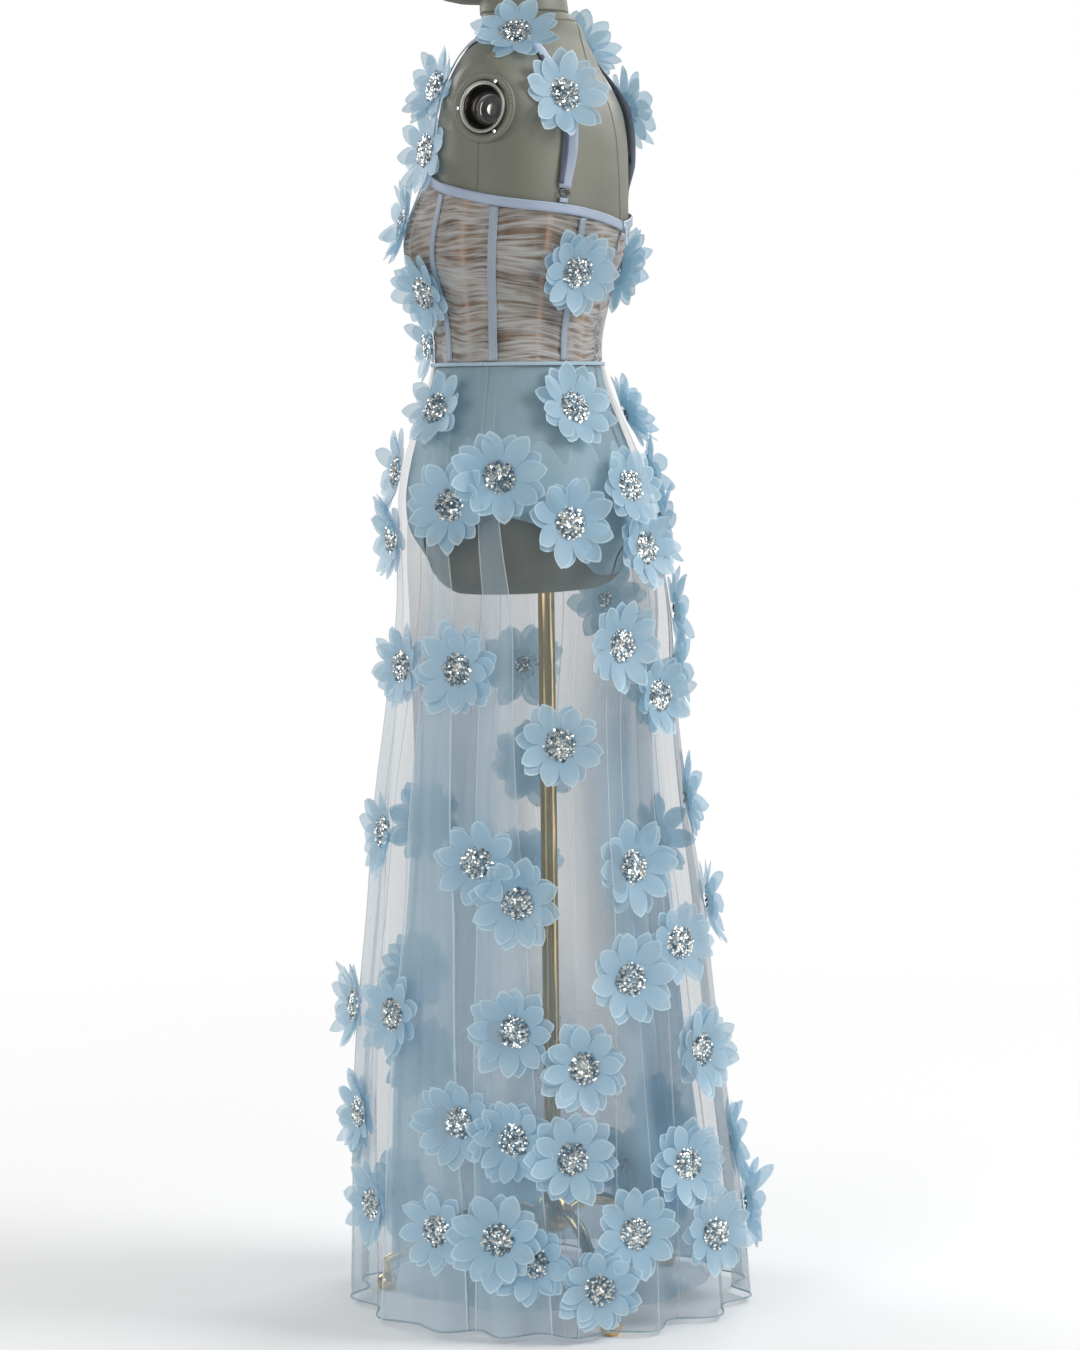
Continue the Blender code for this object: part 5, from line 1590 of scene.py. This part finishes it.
# Flowers
# Each flower is two or three discs of pale blue organza with eight pointed petals, cut with a hot knife. They
# are laid over each other with their petals aside and sewn on through the middle under a cluster of crystals.
SKIRT_FLOWERS = [
    (0.955, -27, 0.084, 5), (0.955, 55, 0.092, 12), (0.858, -10, 0.094, 30), (0.885, 13, 0.098, 8),
    (0.838, 42, 0.096, 20), (0.808, 80, 0.092, 4), (0.872, 76, 0.086, 33), (0.948, 112, 0.084, 17),
    (0.885, 106, 0.090, 25), (0.825, 106, 0.092, 10), (0.740, 99, 0.094, 38), (0.675, 112, 0.090, 3),
    (0.890, -66, 0.090, 14), (0.822, -62, 0.094, 27), (0.690, -9, 0.098, 2), (0.690, -38, 0.088, 19),
    (0.710, 60, 0.096, 31), (0.655, 78, 0.086, 9), (0.612, 31, 0.090, 22), (0.540, 106, 0.096, 12),
    (0.512, -51, 0.092, 35), (0.480, 58, 0.100, 6), (0.492, 0, 0.088, 28), (0.450, 13, 0.092, 16),
    (0.430, 99, 0.094, 1), (0.398, 71, 0.086, 24), (0.368, 49, 0.098, 11), (0.330, -117, 0.092, 30),
    (0.328, -33, 0.088, 7), (0.320, -69, 0.094, 21), (0.318, 11, 0.092, 36), (0.280, 32, 0.094, 13),
    (0.280, 82, 0.096, 26), (0.232, -120, 0.090, 4), (0.212, -58, 0.092, 18), (0.222, -8, 0.090, 32),
    (0.208, 10, 0.088, 10), (0.190, 26, 0.096, 23), (0.165, 160, 0.092, 40), (0.170, 104, 0.098, 15),
    (0.168, 66, 0.092, 29), (0.100, 173, 0.096, 8), (0.074, 163, 0.092, 21), (0.120, -46, 0.094, 34),
    (0.112, -14, 0.086, 2), (0.108, 4, 0.098, 20), (0.082, 13, 0.086, 37), (0.108, 43, 0.098, 5),
    (0.094, 72, 0.092, 25), (0.054, 32, 0.090, 17), (0.104, 100, 0.094, 31), (0.500, -117, 0.094, 9),
    (0.742, 172, 0.092, 22), (0.670, -153, 0.094, 14), (0.640, 148, 0.090, 33),
    (0.875, 168, 0.096, 12), (0.880, 232, 0.090, 6), (0.800, 216, 0.094, 24), (0.560, 200, 0.096, 27),
    (0.480, 150, 0.092, 38), (0.440, 205, 0.096, 20), (0.250, 205, 0.092, 8), (0.080, 208, 0.092, 10),
    (0.085, 250, 0.094, 35), (0.180, 278, 0.092, 15),
]
BODICE_FLOWERS = [
    (1.098, 56.2, 0.092, 10), (1.150, -64, 0.092, 24), (1.078, -40, 0.084, 3), (1.026, -70, 0.084, 17),
    (1.150, 252, 0.092, 31), (1.085, 266, 0.090, 12), (1.075, 222, 0.088, 6), (1.105, 131, 0.092, 20),
    (1.050, 184, 0.086, 29),
]
STRAP_FRONT_FLOWERS = [(0.16, 0.092, 8), (0.52, 0.084, 30)]
STRAP_BACK_FLOWERS = [(0.14, 0.090, 15), (0.58, 0.092, 37)]
PETALS = 8
MOST_LIFT = 0.021
BEAD_R = 0.0172
BEADS = 96
DISC_SIZE = 1.03
# Layers from the bottom: size, turn from the flower's spin, least lift of the tips, height at the middle
PETAL_LAYERS = [(1.00, 13.0, 0.0065, 0.0012), (0.95, 0.0, 0.0115, 0.0026), (0.88, -9.0, 0.0150, 0.0038)]
# Half of a petal's outline: the angle from its middle and the share of the disc's radius there
PETAL_HALF = [
    (22.5, 0.45), (21.6, 0.57), (19.4, 0.68), (15.6, 0.79), (10.6, 0.88), (5.2, 0.95), (0.0, 1.00)
]
SKIRT_LEAN = 0.42
BODICE_LEAN = 0.55
STRAP_LEAN = 0.75
PETAL_STEPS = [0.0, 0.30, 0.56, 0.78, 0.93, 1.0]
DISC_HOLE = 0.20
ORGANZA = (0.440, 0.620, 0.735)
ORGANZA_PAINTED_SHADE = (0.290, 0.475, 0.615)
ORGANZA_EDGE = (0.560, 0.710, 0.785)
PAINTED_BACK_GLOW = (0.080, 0.155, 0.200)
CRYSTAL_DARK = (0.10, 0.14, 0.17, 1)
CRYSTAL_BRIGHT = (0.95, 0.95, 0.92, 1)
CRYSTAL_TONES = [
    (0.30, (0.30, 0.40, 0.46, 1)), (0.55, (0.62, 0.66, 0.66, 1)), (0.80, (0.80, 0.80, 0.74, 1))
]
CRYSTAL = [(-0.45, 0.45), (0.05, 1.0), (0.55, 0.55)]
CRYSTAL_SIZE = 0.0020
THIRD_DISC = 0.22
ORGANZA_WIDTH = 1.4
CUTTING_WASTE = 1.35

organza_finish, tree, shader = finish_of("blue_organza", roughness=0.5)
cut = node(tree, "ShaderNodeUVMap", uv_map="cut").outputs[0]
rimmed = mark_on(tree, "rimmed")
laid = mark_on(tree, "laid")
threads = placed_group(tree, weave, Vector=cut, Pitch=0.0007).outputs["Height"]
cut_edge = {"Value": rimmed, "From Min": 0.90, "From Max": 0.995}
edge = node(tree, "ShaderNodeMapRange", cut_edge, interpolation_type="SMOOTHSTEP").outputs[0]
# Painted shade: lower discs and the petals' middles take the deeper blue, upper discs and tips the lighter
# one, with some random tone
plain = mixed(tree, laid, ORGANZA_PAINTED_SHADE, ORGANZA)
rim_share = reckoned(tree, "MULTIPLY", edge, 0.8)
dyed(tree, shader, rim_share, plain, ORGANZA_EDGE)
# Back faces glow faintly: a painted glow that stands in for light shining through the organza
behind = node(tree, "ShaderNodeNewGeometry").outputs["Backfacing"]
tree.links.new(mixed(tree, behind, (0.0, 0.0, 0.0), PAINTED_BACK_GLOW), shader.inputs["Emission Color"])
shader.inputs["Emission Strength"].default_value = 1.0
sheer = reckoned(tree, "MULTIPLY_ADD", edge, 0.20, 0.66)
sheer = reckoned(tree, "MULTIPLY_ADD", threads, 0.05, sheer, clamp=True)
tree.links.new(sheer, shader.inputs["Alpha"])
organza_finish.cycles.emission_sampling = "NONE"

crystal_finish, tree, shader = finish_of(
    "silver_crystals", metallic=0.85, coat_weight=0.6, coat_roughness=0.05
)
tone = mark_on(tree, "tone")
ramp = node(tree, "ShaderNodeValToRGB", {"Fac": tone})
stops = ramp.color_ramp.elements
stops[0].color = CRYSTAL_DARK
stops[1].color = CRYSTAL_BRIGHT
for at, colour in CRYSTAL_TONES:
    stops.new(at).color = colour
tree.links.new(ramp.outputs["Color"], shader.inputs["Base Color"])
tree.links.new(mixed(tree, tone, 0.34, 0.10), shader.inputs["Roughness"])

# A cut crystal: a flat table over a ring of facets, 2 mm wide at size 1
crystal = hidden(lathe("crystal", (0, 0, 0), UPWARDS, CRYSTAL, crystal_finish, 6))
crystal.data.polygons.foreach_set("use_smooth", [False] * len(crystal.data.polygons))


class PetalMesh:
    """Gathers the petal discs of several flowers into one mesh."""

    def __init__(self):
        self.points = []
        self.faces = []
        self.spread = []
        self.rimmed = []
        self.laid = []

    def add(self, grid, flat, rimmed, laid):
        """Adds one disc: rows run from its rim to its middle, and its columns close into a ring."""
        rows, cols = grid.shape[:2]
        base = sum(len(p) for p in self.points)
        index = np.arange(rows * cols).reshape(rows, cols)
        wide = np.concatenate([index, index[:, :1]], axis=1)
        corners = np.stack(
            [wide[:-1, :-1], wide[:-1, 1:], wide[1:, 1:], wide[1:, :-1]], axis=-1
        ).reshape(-1, 4)
        self.points.append(grid.reshape(-1, 3))
        self.faces.append(base + corners)
        self.spread.append(flat.reshape(-1, 2)[corners].reshape(-1, 2))
        self.rimmed.append(rimmed.ravel())
        self.laid.append(laid.ravel())
        return corners

    def build(self, name, finish):
        mesh = bpy.data.meshes.new(name)
        mesh.from_pydata(np.concatenate(self.points).tolist(), [], np.concatenate(self.faces).tolist())
        mesh.uv_layers.new(name="cut").data.foreach_set("uv", np.concatenate(self.spread).ravel())
        for label, values in (("rimmed", self.rimmed), ("laid", self.laid)):
            mesh.attributes.new(label, "FLOAT", "POINT").data.foreach_set("value", np.concatenate(values))
        mesh.polygons.foreach_set("use_smooth", [True] * len(mesh.polygons))
        mesh.materials.append(finish)
        made = bpy.data.objects.new(name, mesh)
        scene.collection.objects.link(made)
        return made

    def area(self):
        points = np.concatenate(self.points)
        faces = points[np.concatenate(self.faces)]
        crosses = np.cross(faces[:, 2] - faces[:, 0], faces[:, 3] - faces[:, 1])
        return float(np.linalg.norm(crosses, axis=1).sum() / 2)


def height_over(trees, centre, normal, at):
    """How far the surfaces under a place stand above the flower's foot."""
    found = -0.01
    for tree in trees:
        hit, _, _, _ = tree.ray_cast(centre + at + normal * 0.06, -normal, 0.10)
        if hit:
            found = max(found, (hit - centre).dot(normal))
    return found


placed_flowers = []
chance = random.Random(7)
half_turns = [turned for turned, _ in PETAL_HALF]
half_reach = [reach for _, reach in PETAL_HALF]
local_turns = np.array([-turned for turned in half_turns[:-1]] + half_turns[:0:-1])
local_reach = np.array(half_reach[:-1] + half_reach[:0:-1])
disc_petal = np.repeat(np.arange(PETALS), len(local_turns))
disc_turns = np.tile(local_turns, PETALS)
disc_reach = np.tile(local_reach, PETALS)
disc_steps = np.array(PETAL_STEPS[::-1])[:, None]


def flower(into, spots, centre, normal, diameter, spin, walls):
    """One flower: its discs of petals, laid clear of the walls and of the flowers placed before."""
    radius = diameter / 2 * DISC_SIZE
    level = UPWARDS.cross(normal)
    if level.length < 0.3:
        level = Vector((1, 0, 0))
    level = (level - normal * level.dot(normal)).normalized()
    up = normal.cross(level)
    trees = walls + [tree for at, tree in placed_flowers if (at - centre).length < 0.105]
    own_points = []
    own_faces = []
    layers = PETAL_LAYERS if chance.random() < THIRD_DISC else PETAL_LAYERS[:2]
    for layer, (size, aside_turn, least, low) in enumerate(layers):
        start = spin + aside_turn + chance.uniform(-5, 5)
        needs = []
        for k in range(PETALS):
            lift = least + chance.uniform(-0.0025, 0.0035)
            for beside in (-15, 0, 15):
                a = math.radians(start + k * 360 / PETALS + beside)
                way = level * math.cos(a) + up * math.sin(a)
                for share in (0.50, 0.72, 0.94):
                    high = height_over(trees, centre, normal, way * radius * size * share)
                    lift = max(lift, 0.0012 * layer + (high + 0.0022) / share)
            needs.append(min(lift, MOST_LIFT + 0.0015 * layer))
        needs = np.array(needs)
        near = np.maximum(needs, np.maximum(np.roll(needs, 1), np.roll(needs, -1)) - 0.0100)
        long = np.array([chance.uniform(0.80, 1.12) for _ in range(PETALS)])
        curl = np.array([chance.choice((-0.0025, 0.0, 0.0015, 0.0035, 0.0075)) for _ in range(PETALS)])
        twist = np.array([chance.uniform(-0.0038, 0.0038) for _ in range(PETALS)])
        cup = np.array([chance.uniform(-0.0008, 0.0026) for _ in range(PETALS)])
        drift = np.array([chance.uniform(-4.5, 4.5) for _ in range(PETALS)])
        beside = (disc_petal + np.where(disc_turns > 0, 1, -1)) % PETALS
        share = (1 - np.cos(np.pi * np.abs(disc_turns) / 45)) / 2
        raised = near[disc_petal] * (1 - share) + near[beside] * share
        reach = 0.50 + (disc_reach - 0.50) * long[disc_petal] * 1.04
        rho = DISC_HOLE + (reach[None, :] - DISC_HOLE) * disc_steps
        outer = np.clip((rho - 0.5) / 0.5, 0, 1)
        lean = (disc_turns / 22.5)[None, :]
        height = low + (raised[None, :] - low) * rho**1.1 + curl[disc_petal] * outer**2
        height = height + twist[disc_petal] * lean * outer + cup[disc_petal] * lean**2 * outer
        turned = np.radians(start + disc_petal * 360 / PETALS + disc_turns + drift[disc_petal] * outer)
        flat = np.stack([rho * np.cos(turned), rho * np.sin(turned)], axis=-1) * radius * size
        grid = np.array(centre) + flat[..., :1] * np.array(level) + flat[..., 1:] * np.array(up)
        grid = grid + np.array(normal) * height[..., None]
        # The disc's tone: painted shade deepens the lower discs and the middles, with a little random tone on
        # top
        tone = 0.27 + 0.22 * layer + 0.35 * outer + chance.uniform(-0.06, 0.06)
        corners = into.add(grid, flat, np.repeat(disc_steps, len(disc_turns), axis=1), tone)
        own_faces += (corners + len(own_points)).tolist()
        own_points += [Vector(p) for p in grid.reshape(-1, 3)]
        seat = float(np.mean(height[-1])) + (float(np.mean(height[-2])) - float(np.mean(height[-1]))) * 0.8
    placed_flowers.append((centre, BVHTree.FromPolygons(own_points, own_faces)))
    # The crystals cover a low dome over the middle
    for k in range(BEADS):
        r = BEAD_R * math.sqrt((k + 0.5) / BEADS) * chance.uniform(0.97, 1.03)
        a = k * 2.39996 + chance.uniform(-0.15, 0.15)
        dome = 0.0030 * (1 - (r / BEAD_R) ** 2)
        way = level * math.cos(a) + up * math.sin(a)
        spot = centre + way * r + normal * (seat + dome + chance.uniform(-0.0003, 0.0004))
        facing = normal + way * (
            0.25 * r / BEAD_R + chance.uniform(-0.4, 0.4)
        ) + up * chance.uniform(-0.35, 0.35)
        bead_spin = chance.uniform(0, 6.28)
        bead_size = chance.uniform(0.85, 1.25)
        spots.append((spot, facing.normalized(), bead_spin, bead_size, chance.random()))


def leaning(normal, x, amount):
    """A flower's facing leant towards the side of the body that it sits on."""
    outer = Vector((1 if x > 0 else -1, 0, 0))
    return (normal + outer * amount * (1 - abs(normal.x)) ** 0.5).normalized()


def facing_of(where, angle, z):
    """A place on a surface and its mean facing over the width of a flower's middle."""
    turned = np.array([0.0, 12.0, -12.0, 0.0, 0.0, 8.0, -8.0, 8.0, -8.0]) + angle
    heights = np.array([0.0, 0.0, 0.0, 0.025, -0.025, 0.018, 0.018, -0.018, -0.018]) + z
    place = where(turned, heights)
    across = where(turned + 0.5, heights) - where(turned - 0.5, heights)
    up = where(turned, heights + 0.002) - where(turned, heights - 0.002)
    normals = np.cross(across, up)
    normals /= np.linalg.norm(normals, axis=1)[:, None]
    return Vector(place[0]), Vector(normals.sum(axis=0)).normalized()


skirt_tree = tree_of([sheet for sheet, _ in skirt_sheets.values()])
under_flowers = ("bodice_", "channel_", "satin_binding", "strap_", "form_", "arm_ring", "steel_cup")
walls = [o for o in scene.objects if o.name.startswith(under_flowers) and "stitches" not in o.name]
body_tree = tree_of([o for o in walls if o.type == "MESH" and not o.hide_render])
carriers = {}


def carrier_of(angle):
    """The skirt panel that an angle lies on."""
    turned = (angle + 78) % 360 - 78
    return next(name for name, first, last in SKIRT_PANELS if first <= turned < last)


def bodice_out(angle, z):
    """The outer face of the bodice."""
    return body_at(angle, z, CHANNEL_OUT + 0.0006)


for z, angle, diameter, spin in SKIRT_FLOWERS:
    name = carrier_of(angle)
    spot, normal = facing_of(skirt_at, angle, z)
    normal = leaning(normal, spot.x, SKIRT_LEAN)
    petals, spots = carriers.setdefault(name, (PetalMesh(), []))
    flower(petals, spots, spot, normal, diameter, spin, [skirt_tree, body_tree])
for z, angle, diameter, spin in BODICE_FLOWERS:
    spot, normal = facing_of(bodice_out, angle, z)
    normal = leaning(normal, spot.x, BODICE_LEAN)
    petals, spots = carriers.setdefault("bodice", (PetalMesh(), []))
    flower(petals, spots, spot, normal, diameter, spin, [skirt_tree, body_tree])
for side_name, side in SIDES:
    for part_name, rows in (("front", STRAP_FRONT_FLOWERS), ("back", STRAP_BACK_FLOWERS)):
        name = f"strap_{part_name}_{side_name}"
        middle, out = strap_lines[name]
        for share, diameter, spin in rows:
            at = round(share * (len(middle) - 1))
            normal = Vector(out[at]).normalized()
            spot = Vector(middle[at]) + normal * (STRAP_OUT + CLOTH)
            normal = leaning(normal, side, STRAP_LEAN)
            spot = spot + Vector((side * 0.006, 0, -0.002))
            petals, spots = carriers.setdefault(name, (PetalMesh(), []))
            flower(petals, spots, spot, normal, diameter, spin, [body_tree])

for name, (petals, spots) in carriers.items():
    cloth = petals.build(f"{name}_petals", organza_finish)
    beads = scatter(f"{name}_crystals", spots, crystal, CRYSTAL_SIZE, crystal_finish)
    settle(cloth, "tulle")
    settle(beads, "tulle")
    area = petals.area()
    flat = (ORGANZA_WIDTH, area / ORGANZA_WIDTH * CUTTING_WASTE)
    under = name if name != "bodice" else "bodice_centre_front"

for name, (sheet, points) in skirt_sheets.items():
    flat, area = cut_of(points)
